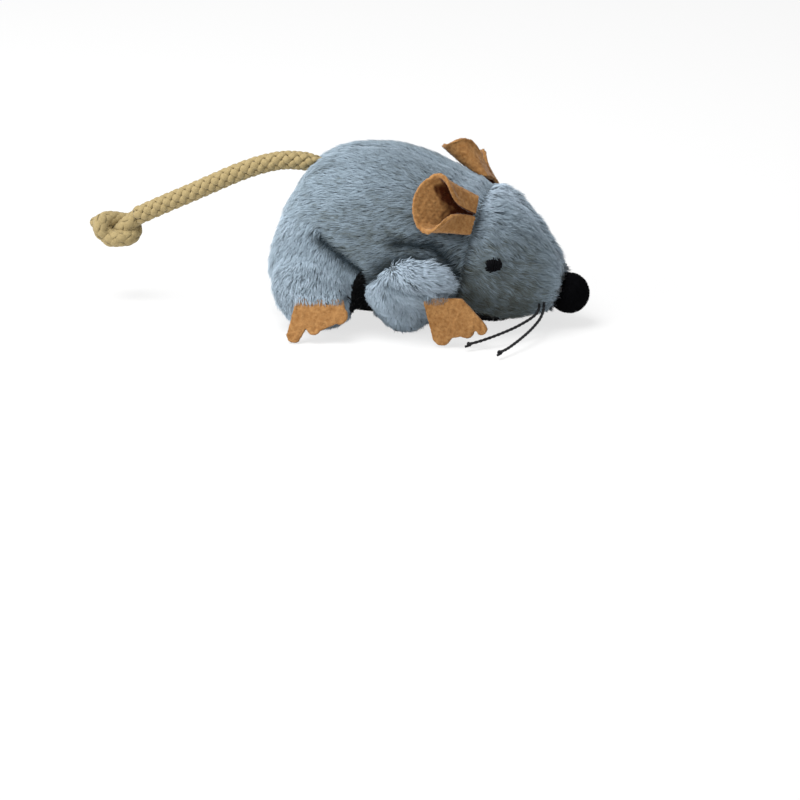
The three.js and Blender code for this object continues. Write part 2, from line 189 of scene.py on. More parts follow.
class PileSettings(bpy.types.PropertyGroup):
    """The pile cloth's fibres and colours"""

    density: FloatProperty(
        name="Density", description="Tufts of fibre per square millimetre", default=8, min=0.5
    )
    width: length_property("Tuft width", "Width of one tuft at its root", 0.24 * MM)
    back_length: length_property("Back pile", "Length of the pile on the back", 3.4 * MM)
    head_length: length_property("Head pile", "Length of the pile on the head", 4.6 * MM)
    leg_length: length_property("Leg pile", "Length of the pile on the legs", 3.7 * MM)
    nap_length: length_property("Belly nap", "Length of the black nap under the belly", 1.3 * MM)
    back_depth: length_property("Back depth", "How deep the cloth lies under the back's pile", 1.2 * MM)
    head_depth: length_property("Head depth", "How deep the cloth lies under the head's pile", 2.5 * MM)
    leg_depth: length_property("Leg depth", "How deep the cloth lies under the legs' pile", 2.3 * MM)
    belly_depth: length_property("Belly depth", "How deep the cloth lies under the belly's nap", 0.7 * MM)
    # The shadowed and dark pile colours are painted shade under the chin, on the cheeks and in creases; the
    # light pile colour carries the painted light on legs, muzzle and ridge
    shadow: colour_property("Shadowed pile", "Colour of the pile under the chin", (0.055, 0.05, 0.026))
    dark: colour_property("Dark pile", "Colour of the pile on the cheeks", (0.14, 0.165, 0.16))
    middle: colour_property("Middle pile", "The usual pile colour", (0.29, 0.37, 0.435))
    light: colour_property("Light pile", "The lightest pile colour", (0.52, 0.63, 0.74))
    backing: colour_property("Backing", "Colour of the knitted backing", (0.2, 0.24, 0.26))
    belly: colour_property("Belly", "Colour of the black belly cloth", (0.012, 0.012, 0.013))


class FeltSettings(bpy.types.PropertyGroup):
    """The pressed felt of ears and paws"""

    dark: colour_property("Dark felt", "Colour of the felt's deeper fibres", (0.24, 0.108, 0.033))
    light: colour_property("Light felt", "Colour of the felt's outer fibres", (0.42, 0.222, 0.083))
    roughness: length_property("Unevenness", "How far the felt's face rises and falls", 0.07 * MM)
    fuzz_length: length_property("Fuzz", "Length of the loose fibres", 0.6 * MM)
    fuzz_density: FloatProperty(
        name="Fuzz density", description="Loose fibres per square millimetre", default=3, min=0
    )


class RopeSettings(bpy.types.PropertyGroup):
    """The braided cotton rope"""

    diameter: length_property("Rope diameter", "Diameter over the braid", 6 * MM)
    carriers: IntProperty(
        name="Strands each way", description="How many strands wind each way round", default=5, min=3
    )
    stitch: length_property("Stitch", "Length of rope from one crossing to the next", 1.75 * MM)
    light: colour_property("Light cotton", "Colour of the strands", (0.37, 0.29, 0.145))
    # The dark cotton colour is painted shade between the strands
    dark: colour_property("Dark cotton", "Colour between the strands", (0.06, 0.036, 0.009))


class FaceSettings(bpy.types.PropertyGroup):
    """Nose, eyes and whiskers"""

    black: colour_property("Black", "Colour of nose flock and eye thread", (0.004, 0.004, 0.0048))
    flock_length: length_property("Nose flock", "Length of the flock on the nose", 0.35 * MM)
    thread_diameter: length_property("Eye thread", "Diameter of the eye's stitching thread", 0.42 * MM)
    eye_length: length_property("Eye length", "Length of the stitched eye", 4.9 * MM)
    eye_height: length_property("Eye height", "Height of the stitched eye", 4.5 * MM)
    whisker_diameter: length_property("Whisker", "Diameter of the waxed cord", 1 * MM)
    whisker_colour: colour_property("Waxed cord", "Colour of the waxed cord", (0.006, 0.006, 0.007))


class StageSettings(bpy.types.PropertyGroup):
    """Camera, floor and lights"""

    azimuth: angle_property("Azimuth", "Camera's turn about the mouse", 10)
    elevation: angle_property("Elevation", "Camera's height above the horizon", 20)
    distance: length_property("Distance", "Camera's distance from the mouse", 1.3)
    width: length_property("View width", "Width that the view takes in at the mouse", 0.2528)
    across: length_property("Aim across", "How far left of the origin the view's middle lies", 0.00932)
    below: length_property("Aim below", "How far under the origin the view's middle lies", 0.02667)
    key: FloatProperty(name="Key", description="Power of the overhead light", default=5.5, unit="POWER")
    fill: FloatProperty(name="Fill", description="Power of the side light", default=3.9, unit="POWER")
    world: FloatProperty(name="World", description="Strength of the light all round", default=0.4)


# Surfaces as arrays


class Surface:
    """A closed triangle surface in the row frame, as arrays"""

    def __init__(self, points, triangles):
        self.points = points
        self.triangles = triangles
        sides = np.concatenate([triangles[:, [0, 1]], triangles[:, [1, 2]], triangles[:, [2, 0]]])
        self.edges = np.unique(np.sort(sides, axis=1), axis=0)
        self.degree = np.bincount(self.edges.ravel(), minlength=len(points))

    def averaged(self, values):
        """Each point's mean over its neighbours"""
        total = np.zeros_like(values)
        for here, there in ((0, 1), (1, 0)):
            far = values[self.edges[:, there]]
            for axis in range(values.shape[1]):
                total[:, axis] += np.bincount(self.edges[:, here], far[:, axis], len(values))
        return total / np.maximum(self.degree, 1)[:, None]

    def spread(self, values, rounds):
        """Per-point values blurred over the surface"""
        values = values.reshape(len(self.points), -1).astype(float)
        for _ in range(rounds):
            values = 0.5 * (values + self.averaged(values))
        return values

    def smooth(self, rounds):
        """Smooths the shape and keeps its size"""
        for _ in range(rounds):
            for share in (0.5, -0.52):
                self.points = self.points + share * (self.averaged(self.points) - self.points)
        return self

    def face_normals(self):
        """Each triangle's normal, as long as twice its area"""
        corners = self.points[self.triangles]
        return np.cross(corners[:, 1] - corners[:, 0], corners[:, 2] - corners[:, 0])

    def normals(self):
        faces = self.face_normals()
        total = np.zeros_like(self.points)
        for corner in range(3):
            for axis in range(3):
                total[:, axis] += np.bincount(self.triangles[:, corner], faces[:, axis], len(self.points))
        return unit(total)

    @functools.cached_property
    def tree(self):
        return BVHTree.FromPolygons(self.points.tolist(), self.triangles.tolist())

    def drawn_in(self, depth):
        return Surface(self.points - self.normals() * depth[:, None], self.triangles)

    def outermost(self):
        """Drops what lies inside: only the connected part with the furthest point stays"""
        label = np.arange(len(self.points))
        while True:
            low = label.copy()
            np.minimum.at(low, self.edges[:, 0], label[self.edges[:, 1]])
            np.minimum.at(low, self.edges[:, 1], label[self.edges[:, 0]])
            low = low[low]
            if np.array_equal(low, label):
                break
            label = low
        keep = label == label[np.argmax(self.points[:, 0])]
        return self.part(keep[self.triangles].all(axis=1))

    def part(self, chosen):
        """The chosen triangles as a surface of their own"""
        points, corners = np.unique(self.triangles[chosen], return_inverse=True)
        return Surface(self.points[points], corners.reshape(-1, 3))


def unit(vectors):
    return vectors / np.maximum(np.linalg.norm(vectors, axis=-1, keepdims=True), 1e-12)


def bell(values, width):
    """1 at zero, falling to next to nothing at twice the width"""
    return np.exp(-((values / width) ** 2))


def soft_step(values, width):
    """0 well below zero and 1 well above it"""
    return 1 / (1 + np.exp(-values / width))


@functools.cache
def node_surface(name):
    """A CAD node's solid with its corners merged"""
    points, triangles = mesh_arrays(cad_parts[name].data)
    keys = np.round(points / WELD).astype(np.int64)
    _, first, inverse = np.unique(keys, axis=0, return_index=True, return_inverse=True)
    triangles = inverse.reshape(-1)[triangles]
    whole = (triangles != np.roll(triangles, 1, axis=1)).all(axis=1)
    return Surface(points[first], triangles[whole])


def mesh_arrays(mesh):
    points = np.empty(len(mesh.vertices) * 3, dtype=np.float32)
    mesh.vertices.foreach_get("co", points)
    mesh.calc_loop_triangles()
    triangles = np.empty(len(mesh.loop_triangles) * 3, dtype=np.int32)
    mesh.loop_triangles.foreach_get("vertices", triangles)
    return points.reshape(-1, 3).astype(float), triangles.reshape(-1, 3)


def remeshed(names, voxel, swell):
    """The joined outside of some CAD nodes as one even surface, swollen first so that their gaps close"""
    points = []
    triangles = []
    start = 0
    for name in names:
        solid = node_surface(name)
        points.append(solid.points + swell * solid.normals())
        triangles.append(solid.triangles + start)
        start += len(solid.points)
    mesh = bpy.data.meshes.new("joined")
    fill_mesh(mesh, np.concatenate(points), np.concatenate(triangles))
    obj = bpy.data.objects.new("joined", mesh)
    bpy.context.scene.collection.objects.link(obj)
    even = obj.modifiers.new("even", "REMESH")
    even.mode = "VOXEL"
    even.voxel_size = voxel
    result = obj.evaluated_get(bpy.context.evaluated_depsgraph_get()).to_mesh()
    surface = Surface(*mesh_arrays(result)).outermost()
    bpy.data.objects.remove(obj)
    bpy.data.meshes.remove(mesh)
    surface.points = surface.points - swell * surface.normals()
    return surface


def fill_mesh(mesh, points, triangles, uv=None, normals=None):
    mesh.vertices.add(len(points))
    mesh.vertices.foreach_set("co", np.ascontiguousarray(points, dtype=np.float32).ravel())
    mesh.loops.add(3 * len(triangles))
    mesh.loops.foreach_set("vertex_index", np.ascontiguousarray(triangles, dtype=np.int32).ravel())
    mesh.polygons.add(len(triangles))
    mesh.polygons.foreach_set("loop_start", np.arange(0, 3 * len(triangles), 3, dtype=np.int32))
    mesh.polygons.foreach_set("use_smooth", np.ones(len(triangles), dtype=bool))
    mesh.update(calc_edges=True)
    if uv is not None:
        layer = mesh.uv_layers.new(name="OFBake")
        corners = np.ascontiguousarray(uv[triangles.ravel()], dtype=np.float32)
        layer.uv.foreach_set("vector", corners.ravel())
    if normals is not None:
        mesh.normals_split_custom_set_from_vertices(normals.astype(np.float32))


def add_piece(name, points, triangles, material, body, uv=None, normals=None):
    """A named piece of the toy from arrays, riding on a body"""
    mesh = bpy.data.meshes.new(name)
    fill_mesh(mesh, points, triangles, uv, normals)
    mesh.materials.append(material)
    obj = bpy.data.objects.new(name, mesh)
    bpy.context.scene.collection.objects.link(obj)
    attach(obj, body)
    return obj


def waves(points, size, seed, stretch=(1, 1, 1)):
    """Smooth noise from -1 to 1 at each point, with lumps of about the given size"""
    rng = np.random.default_rng(seed)
    total = np.zeros(len(points))
    scaled = points / np.array(stretch)
    for _ in range(9):
        direction = unit(rng.normal(size=3))
        speed = 2 * math.pi / (size * rng.uniform(0.7, 2.2))
        total += np.sin(scaled @ direction * speed + rng.uniform(0, 2 * math.pi))
    return np.clip(total / 3.6, -1, 1)


def node_box(name):
    return [np.array(corner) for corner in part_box(name)]


def node_middle(name):
    low, high = node_box(name)
    return (low + high) / 2


# Body and legs as surfaces


@functools.cache
def body_surface():
    """Body and hind legs as one surface, because the pile runs over the haunches without a break"""
    stuffings = ("body_stuffing", "hind_leg_stuffing_right", "hind_leg_stuffing_left")
    return remeshed(PATCHES + stuffings, BODY_GRID, SEAM_GAP).smooth(14)


@functools.cache
def leg_surface(side):
    return remeshed((f"front_leg_{side}", f"front_leg_stuffing_{side}"), LEG_GRID, SEAM_GAP).smooth(8)


def distances(tree, points):
    return np.array([tree.find_nearest(point)[3] for point in points])


def clearances(tree, points):
    """Distance to a surface at each point, below zero inside it"""
    out = np.empty(len(points))
    for index, point in enumerate(points):
        place, normal, _, distance = tree.find_nearest(point)
        inside = (Vector(point) - place).dot(normal) < 0
        out[index] = -distance if inside else distance
    return out


def encloses(tree, point):
    """Whether a point lies inside a closed surface: a ray from it crosses it an odd number of times"""
    way = Vector((0, math.copysign(1, point[1]), 0))
    start = Vector(point)
    crossings = 0
    while True:
        hit = tree.ray_cast(start, way)[0]
        if hit is None:
            return crossings % 2 == 1
        crossings += 1
        start = hit + way * 0.01 * MM


@functools.cache
def panel_distances():
    """For each point of the body, its distance to each sewn panel and each hind leg"""
    points = body_surface().points
    rows = np.array([distances(node_surface(name).tree, points) for name in PATCHES])
    rows[PATCHES.index("belly_panel")] -= BELLY_RISE * bell(points[:, 0] - BELLY_GAP, BELLY_GAP_WIDTH)
    return rows.T


def panel_owner():
    return np.argmin(panel_distances(), axis=1)


def patch_faces(number):
    """Which of the body's triangles belong to one panel or hind leg"""
    return (panel_owner()[body_surface().triangles] == number).sum(axis=1) >= 2


def seam_distance():
    """Distance from the nearest seam between two panels, about"""
    ordered = np.sort(panel_distances()[:, : len(PANELS)], axis=1)
    on_a_leg = panel_owner() >= len(PANELS)
    return np.where(on_a_leg, 5 * MM, ordered[:, 1] - ordered[:, 0])


def on_the_ridge(points):
    """How near each point lies to the line along the middle of the back, from 0 to 1"""
    return bell(points[:, 1], 5 * MM) * (points[:, 2] > 25 * MM)


def near_line(points, line, width):
    """How near each point lies to a line drawn on the toy's side, from 0 to 1"""
    flat = points[:, [0, 2]]
    best = np.full(len(points), np.inf)
    for start, end in zip(np.array(line), np.array(line)[1:]):
        run = end - start
        share = np.clip((flat - start) @ run / (run @ run), 0, 1)
        best = np.minimum(best, np.linalg.norm(flat - start - share[:, None] * run, axis=1))
    return bell(best, width)


def on_the_haunch(points):
    """1 below and behind the haunch's crease, 0 above it, and soft between"""
    crease = np.array(HAUNCH_CREASE[:4])
    height = np.interp(points[:, 0], crease[:, 0], crease[:, 1], left=0.036, right=0)
    return soft_step(height - points[:, 2], 0.7 * MM)


@functools.cache
def body_cloth():
    """The body's surface drawn in under its pile, with a groove along each seam, crease and fold"""
    settings = bpy.context.scene.mouse_pile
    surface = body_surface()
    depths = np.array(
        [settings.back_depth] * 2
        + [settings.head_depth] * 2
        + [settings.belly_depth]
        + [0.65 * settings.leg_depth] * 2
    )
    depth = surface.spread(depths[panel_owner()], 8)[:, 0]
    at_a_leg = bell(panel_distances()[:, len(PANELS) :].min(axis=1), 2 * MM)
    depth = depth + 3 * MM * at_a_leg * np.clip((surface.points[:, 0] + 22 * MM) / (5 * MM), 0, 1)
    seam = bell(seam_distance(), 1.1 * MM)
    groove = (0.25 + 0.6 * on_the_ridge(surface.points)) * MM * seam
    groove = groove + 1.9 * MM * near_line(surface.points, HAUNCH_CREASE, 1.7 * MM)
    groove = groove + 1.1 * MM * near_line(surface.points, NECK_FOLD, 2.2 * MM)
    return surface.drawn_in(surface.spread(depth + groove, 2)[:, 0])


@functools.cache
def leg_cloth(side):
    """A front leg's surface drawn in under its pile, but not where it is sewn to the body"""
    surface = leg_surface(side)
    clear = clearances(body_surface().tree, surface.points)
    share = np.clip((clear - 0.6 * MM) / (2.4 * MM), 0, 1)
    depth = surface.spread(share, 3)[:, 0] * bpy.context.scene.mouse_pile.leg_depth
    top = np.clip((surface.points[:, 2] - node_middle(f"front_leg_{side}")[2]) / (5 * MM) - 0.4, 0, 1)
    depth = (0.7 - 0.5 * top) * depth
    depth = depth + 0.9 * MM * near_line(surface.points, FRONT_FOLD, 1.3 * MM) * share
    return surface.drawn_in(depth)


# Materials


def shade(colour, share):
    return tuple(share * value for value in colour)


class Look:
    """A material in the making"""

    def __init__(self, name, roughness, sheen=0.0, specular=0.3):
        self.material = bpy.data.materials.new(name)
        self.material.use_nodes = True
        self.tree = self.material.node_tree
        self.shader = self.tree.nodes["Principled BSDF"]
        self.shader.inputs["Roughness"].default_value = roughness
        self.shader.inputs["Sheen Weight"].default_value = sheen
        self.shader.inputs["Sheen Roughness"].default_value = 0.4
        self.shader.inputs["Specular IOR Level"].default_value = specular

    def map_axes(self):
        """The two axes of the piece's own map, as sockets X and Y"""
        where = self.tree.nodes.new("ShaderNodeUVMap")
        where.uv_map = "OFBake"
        split = self.tree.nodes.new("ShaderNodeSeparateXYZ")
        self.tree.links.new(where.outputs["UV"], split.inputs[0])
        return split.outputs

    def texture(self, kind, output, **values):
        """A texture that moves with the piece"""
        texture = self.tree.nodes.new(kind)
        for name, value in values.items():
            texture.inputs[name].default_value = value
        where = self.tree.nodes.new("ShaderNodeTexCoord")
        self.tree.links.new(where.outputs["Object"], texture.inputs["Vector"])
        return texture.outputs[output]

    def noise(self, scale, detail):
        return self.texture("ShaderNodeTexNoise", "Fac", Scale=scale, Detail=detail)

    def ramp(self, value, stops):
        """The colour of a value between the stops"""
        ramp = self.tree.nodes.new("ShaderNodeValToRGB")
        elements = ramp.color_ramp.elements
        while len(elements) < len(stops):
            elements.new(0.5)
        for element, (position, colour) in zip(elements, stops):
            element.position = position
            element.color = (*colour, 1)
        self.tree.links.new(value, ramp.inputs[0])
        return ramp.outputs["Color"]

    def multiply(self, first, second):
        mix = self.tree.nodes.new("ShaderNodeMix")
        mix.data_type = "RGBA"
        mix.blend_type = "MULTIPLY"
        return self.mixed(mix, first, second, 1)

    def mixed(self, mix, first, second, share):
        mix.inputs["Factor"].default_value = share
        self.tree.links.new(first, mix.inputs["A"])
        self.tree.links.new(second, mix.inputs["B"])
        return mix.outputs["Result"]

    def finish(self, colour, height=None, strength=0.0, distance=0.0):
        """Links the colour and, where a height is given, the bump"""
        self.tree.links.new(colour, self.shader.inputs["Base Color"])
        if height is not None:
            bump = self.tree.nodes.new("ShaderNodeBump")
            bump.inputs["Strength"].default_value = strength
            bump.inputs["Distance"].default_value = distance
            self.tree.links.new(height, bump.inputs["Height"])
            self.tree.links.new(bump.outputs["Normal"], self.shader.inputs["Normal"])
        return self.material


@functools.cache
def pile_material():
    """Pile: the map's first axis is the tuft's tone, from painted shade to painted light; its second runs
    from root to tip, with painted shade deep in the pile
    """
    settings = bpy.context.scene.mouse_pile
    look = Look("pile", 0.8, sheen=0.25, specular=0.15)
    axes = look.map_axes()
    tone = look.ramp(
        axes["X"],
        [(0.03, settings.shadow), (0.22, settings.dark), (0.5, settings.middle), (0.97, settings.light)],
    )
    # Painted shade: darker towards the root, deep in the pile
    depth = look.ramp(
        axes["Y"],
        [(0, (0.05, 0.075, 0.09)), (0.2, (0.42, 0.43, 0.44)), (0.5, (0.84, 0.85, 0.86)), (1, (1, 1, 1))],
    )
    return look.finish(look.multiply(tone, depth))


@functools.cache
def flock_material(name, colour):
    """Short black fibres: painted shade at the root and a slightly lighter tip"""
    look = Look(name, 1.0, specular=0.02)
    return look.finish(look.ramp(look.map_axes()["Y"], [(0, shade(colour, 0.5)), (1, shade(colour, 1.3))]))


@functools.cache
def knit_material(name, colour):
    """The knitted backing between the tufts"""
    look = Look(name, 0.95, sheen=0.1, specular=0.1)
    loops = look.texture("ShaderNodeTexVoronoi", "Distance", Scale=1400)
    tone = look.ramp(loops, [(0.1, shade(colour, 1.15)), (0.8, shade(colour, 0.6))])
    return look.finish(tone, loops, 0.4, 0.1 * MM)


@functools.cache
def felt_material():
    """Felt: mottled by its fibres, with painted shade where its folds face each other"""
    settings = bpy.context.scene.mouse_felt
    look = Look("felt", 0.95, sheen=0.2, specular=0.1)
    mottle = look.mixed(look.tree.nodes.new("ShaderNodeMix"), look.noise(900, 6), look.noise(160, 3), 0.35)
    tone = look.ramp(mottle, [(0.34, settings.dark), (0.66, settings.light)])
    # Painted shade inside the folds, from the hollow attribute
    hollow = look.tree.nodes.new("ShaderNodeAttribute")
    hollow.attribute_name = "hollow"
    painted_fold_shade = look.ramp(hollow.outputs["Fac"], [(0.1, (1, 1, 1)), (0.62, (0.16, 0.055, 0.015))])
    return look.finish(look.multiply(tone, painted_fold_shade), mottle, 0.6, 0.25 * MM)


@functools.cache
def felt_fuzz_material():
    """Loose fibres of the felt: the map's first axis is the fibre's tone"""
    settings = bpy.context.scene.mouse_felt
    look = Look("felt_fuzz", 0.9, sheen=0.2, specular=0.1)
    stops = [(0, shade(settings.dark, 0.4)), (0.5, settings.dark), (1, shade(settings.light, 1.15))]
    return look.finish(look.ramp(look.map_axes()["X"], stops))


@functools.cache
def cotton_material():
    """Braid: the map's first axis runs across a strand, its second is how far up it lies, with painted shade
    low down and between the strands
    """
    settings = bpy.context.scene.mouse_rope
    look = Look("cotton_braid", 0.9, sheen=0.2, specular=0.1)
    stops = [(0.0, settings.dark), (0.5, shade(settings.light, 0.76)), (0.85, settings.light)]
    tone = look.ramp(look.map_axes()["Y"], stops)
    fibres = look.noise(1600, 5)
    mottled = look.ramp(fibres, [(0.3, (0.82, 0.8, 0.76)), (0.7, (1.0, 1.0, 1.0))])
    return look.finish(look.multiply(tone, mottled), fibres, 0.5, 0.15 * MM)


@functools.cache
def waxed_material():
    colour = bpy.context.scene.mouse_face.whisker_colour
    look = Look("waxed_cord", 0.55, specular=0.2)
    wax = look.noise(2500, 3)
    return look.finish(look.ramp(wax, [(0.3, colour), (0.8, shade(colour, 2.2))]), wax, 0.3, 0.05 * MM)


@functools.cache
def thread_material():
    colour = bpy.context.scene.mouse_face.black
    look = Look("eye_thread", 1.0, specular=0.02)
    return look.finish(look.ramp(look.noise(3000, 2), [(0.3, colour), (0.8, shade(colour, 2))]))


@functools.cache
def fibre_material():
    look = Look("polyester_fibre", 0.9, sheen=0.3, specular=0.2)
    fluff = look.noise(700, 6)
    tone = look.ramp(fluff, [(0.3, (0.66, 0.65, 0.62)), (0.7, (0.88, 0.87, 0.84))])
    return look.finish(tone, fluff, 0.8, 0.4 * MM)


# Tufts


class Tufts:
    """Roots scattered on a surface, each with the surface's values there"""

    def __init__(self, surface, density, seed, chosen=slice(None)):
        self.rng = np.random.default_rng(seed)
        faces = surface.triangles[chosen]
        area = np.linalg.norm(surface.face_normals()[chosen], axis=1)
        wanted = self.rng.poisson(0.5 * area * density / MM**2)
        self.faces = np.repeat(faces, wanted, axis=0)
        first = np.sqrt(self.rng.random(len(self.faces)))
        second = self.rng.random(len(self.faces))
        self.shares = np.stack([1 - first, first * (1 - second), first * second], axis=1)
        self.root = self.value(surface.points)
        self.normal = unit(self.value(surface.normals()))
        self.free = np.zeros(len(self.root), dtype=bool)
        # Painted shade of each tuft in a crease, from 0 to 1
        self.painted_shade = np.zeros(len(self.root))

    def value(self, values):
        """Per-point values of the surface at each root"""
        if values.ndim == 1:
            return (values[self.faces] * self.shares).sum(axis=1)
        return (values[self.faces] * self.shares[:, :, None]).sum(axis=1)

    def keep(self, mask):
        for name, value in list(vars(self).items()):
            if isinstance(value, np.ndarray) and len(value) == len(mask):
                setattr(self, name, value[mask])

    def part(self, mask):
        """A copy with the chosen tufts only"""
        copy = object.__new__(Tufts)
        vars(copy).update(vars(self))
        copy.keep(mask)
        return copy

    def comb(self, direction, length, lift, bend):
        """Lays each tuft over towards a direction, at an angle from the cloth that is steeper at its root"""
        along = direction - self.normal * (direction * self.normal).sum(axis=1, keepdims=True)
        self.along = unit(along)
        half = (length / 2)[:, None]
        steep = (lift + bend)[:, None]
        flat = (lift - bend)[:, None]
        self.mid = self.root + half * (self.normal * np.sin(steep) + self.along * np.cos(steep))
        self.tip = self.mid + half * (self.normal * np.sin(flat) + self.along * np.cos(flat))

    def ruffle(self, length, shares, lifts, bend):
        """Lays the tufts every way, with lengths and lifts between two bounds"""
        count = len(self.root)
        heading = self.rng.normal(size=(count, 3))
        lengths = length * self.rng.uniform(*shares, count)
        self.comb(heading, lengths, np.radians(self.rng.uniform(*lifts, count)), np.radians(bend))

    def shorten(self, share):
        share = share[:, None]
        self.mid = self.root + share * (self.mid - self.root)
        self.tip = self.root + share * (self.tip - self.root)

    def clump(self, every, strength):
        """Draws the tips of neighbouring tufts together"""
        leaders = np.arange(0, len(self.root), every)
        tree = KDTree(len(leaders))
        for number, leader in enumerate(leaders):
            tree.insert(self.root[leader], number)
        tree.balance()
        leader = leaders[[tree.find(point)[1] for point in self.root]]
        pull = strength * self.rng.uniform(0.5, 1, len(self.root))[:, None]
        self.tip = self.tip + pull * (self.tip[leader] - self.tip)
        self.mid = self.mid + 0.35 * pull * (self.mid[leader] - self.mid)
        self.leader = leader

    def push_out(self, middle, radius):
        """Keeps tufts out of a ball"""
        for name in ("mid", "tip"):
            points = getattr(self, name)
            away = points - middle
            distance = np.linalg.norm(away, axis=1, keepdims=True)
            pushed = middle + away * np.maximum(distance, radius) / np.maximum(distance, 1e-9)
            setattr(self, name, pushed)

    def part_round(self, middle, outward, radius):
        """Parts the tufts round a piece, to its sides and not over it"""
        for name in ("mid", "tip"):
            away = getattr(self, name) - middle
            along = (away @ outward)[:, None] * outward
            aside = away - along
            distance = np.linalg.norm(aside, axis=1, keepdims=True)
            near = np.linalg.norm(away, axis=1, keepdims=True) < 3 * radius
            wider = aside * np.maximum(distance, radius) / np.maximum(distance, 1e-9)
            setattr(self, name, np.where(near, middle + along + wider, middle + away))

    def lay_over(self, trees, length):
        """Tufts that grow above a paw hang down over its outer face"""
        for tree, low, high in trees:
            outward = 1 if low[1] > 0 else -1
            inner = min(abs(low[1]), abs(high[1]))
            above = (self.root[:, 2] > high[2] - 1 * MM) & (self.root[:, 2] < high[2] + 1.5 * MM)
            beside = (self.root[:, 0] > low[0]) & (self.root[:, 0] < high[0])
            outside = (self.root[:, 1] * outward > inner - 7 * MM) & (self.normal[:, 1] * outward > 0)
            for index in np.flatnonzero(above & beside & outside):
                along = (self.root[index][0] - low[0]) / (high[0] - low[0])
                drop = length * self.rng.uniform(0.55, 1) * (1.25 - 0.6 * along)
                tip = self.root[index] + np.array((self.rng.normal(scale=0.4 * MM), 0, -drop))
                hit = tree.ray_cast((tip[0], 0.09 * outward, tip[2]), (0, -outward, 0))
                if hit[0] is None:
                    continue
                tip[1] = hit[0][1] + outward * self.rng.uniform(0.2, 0.5) * MM
                mid = 0.5 * (self.root[index] + tip)
                mid[1] = self.root[index][1] + 0.8 * (tip[1] - self.root[index][1])
                mid[2] = self.root[index][2] - 0.2 * drop
                self.mid[index] = mid
                self.tip[index] = tip
                self.free[index] = True

    def trim_at(self, trees):
        """Ends each tuft before it would run through one of the given solids"""
        share = np.ones(len(self.root))
        for tree, low, high in trees:
            reach = 1.5 * MM
            near = ((self.tip > low - reach) & (self.tip < high + reach)).all(axis=1) & ~self.free
            for index in np.flatnonzero(near):
                step = Vector(self.tip[index] - self.root[index])
                length = step.length
                hit = tree.ray_cast(self.root[index], step, length * 1.1)
                if hit[0] is not None:
                    share[index] = min(share[index], max(hit[3] - 0.15 * MM, 0) / length)
        self.shorten(share)
        self.keep(share > 0.25)

    def build(self, name, width, tone, material, body, slot, softness=0.6):
        """Closed spikes, each a root triangle, a middle triangle and a tip"""
        side = unit(np.cross(self.tip - self.root, self.normal))
        over = unit(np.cross(side, self.tip - self.root))
        corners = [(side, 0.5), (side, -0.5), (over, 0.38)]
        rows = []
        normals = []
        for centre, share in ((self.root, 1.0), (self.mid, 0.85)):
            for offset, amount in corners:
                rows.append(centre + offset * amount * share * width[:, None])
                outward = offset * math.copysign(1, amount)
                normals.append(unit(softness * self.normal + (1 - softness) * (outward + over)))
        rows.append(self.tip)
        normals.append(unit(self.normal + 0.35 * over))
        points = np.stack(rows, axis=1)
        points[:, :, 2] = np.maximum(points[:, :, 2], PILE_FLOOR)
        pattern = np.array(TUFT_SIDES + TUFT_ENDS)
        triangles = (pattern[None] + 7 * np.arange(len(points))[:, None, None]).reshape(-1, 3)
        across = np.array([-0.006, 0.006, 0.0, -0.006, 0.006, 0.0, 0.0])
        up = np.array([0.2, 0.2, 0.22, 0.55, 0.55, 0.57, 0.98])
        # The map's second axis is pulled down by the painted shade, so tufts in creases come out darker
        uv = np.stack(
            [
                np.clip(tone, 0.01, 0.99)[:, None] * 0.98 + 0.01 + across,
                up * (1 - self.painted_shade)[:, None],
            ],
            axis=2,
        )
        return add_piece(
            name,
            points.reshape(-1, 3),
            triangles,
            material,
            body,
            uv.reshape(-1, 2),
            np.stack(normals, axis=1).reshape(-1, 3),
        )


@functools.cache
def felt_in_the_pile(kinds):
    """Trees and boxes of the felt pieces that the pile meets"""
    names = [f"{kind}_{side}" for side in SIDES for kind in kinds]
    return [(node_surface(name).tree, *node_box(name)) for name in names]


def comb_pile(tufts, direction, length, lift_degrees, swirl, seed, streak=(1, 1, 1), stray=0.13):
    """Settles length, lie and tone of a patch of pile, with the streaks and tufts of worn plush"""
    count = len(tufts.root)
    rng = tufts.rng
    turn = waves(tufts.root, 7 * MM, seed, streak)
    turn_fine = waves(tufts.root, 2.2 * MM, seed + 1, streak)
    side = np.cross(tufts.normal, direction)
    heading = direction + side * (swirl * (0.7 * turn + 0.5 * turn_fine))[:, None]
    heading = heading + rng.normal(scale=stray, size=(count, 3))
    lift = np.radians(lift_degrees) * (
        1 + 0.22 * waves(tufts.root, 5 * MM, seed + 2, streak) + rng.normal(scale=0.14, size=count)
    )
    sizes = length * np.clip(0.86 + 0.12 * turn + rng.normal(scale=0.11, size=count), 0.3, None)
    tufts.comb(heading, sizes, lift, np.radians(14))
    tufts.clump(9, 0.3)
    patch = waves(tufts.root, 2.6 * MM, seed + 3, streak)
    broad = waves(tufts.root, 12 * MM, seed + 4, streak)
    own = rng.normal(scale=0.07, size=count)
    tone = 0.5 + 0.05 * patch + 0.04 * broad + own + 0.045 * rng.normal(size=count)[tufts.leader]
    return tone


# Operators


class MouseOperator:
    """What the operators share"""

    bl_options = {"REGISTER", "UNDO"}


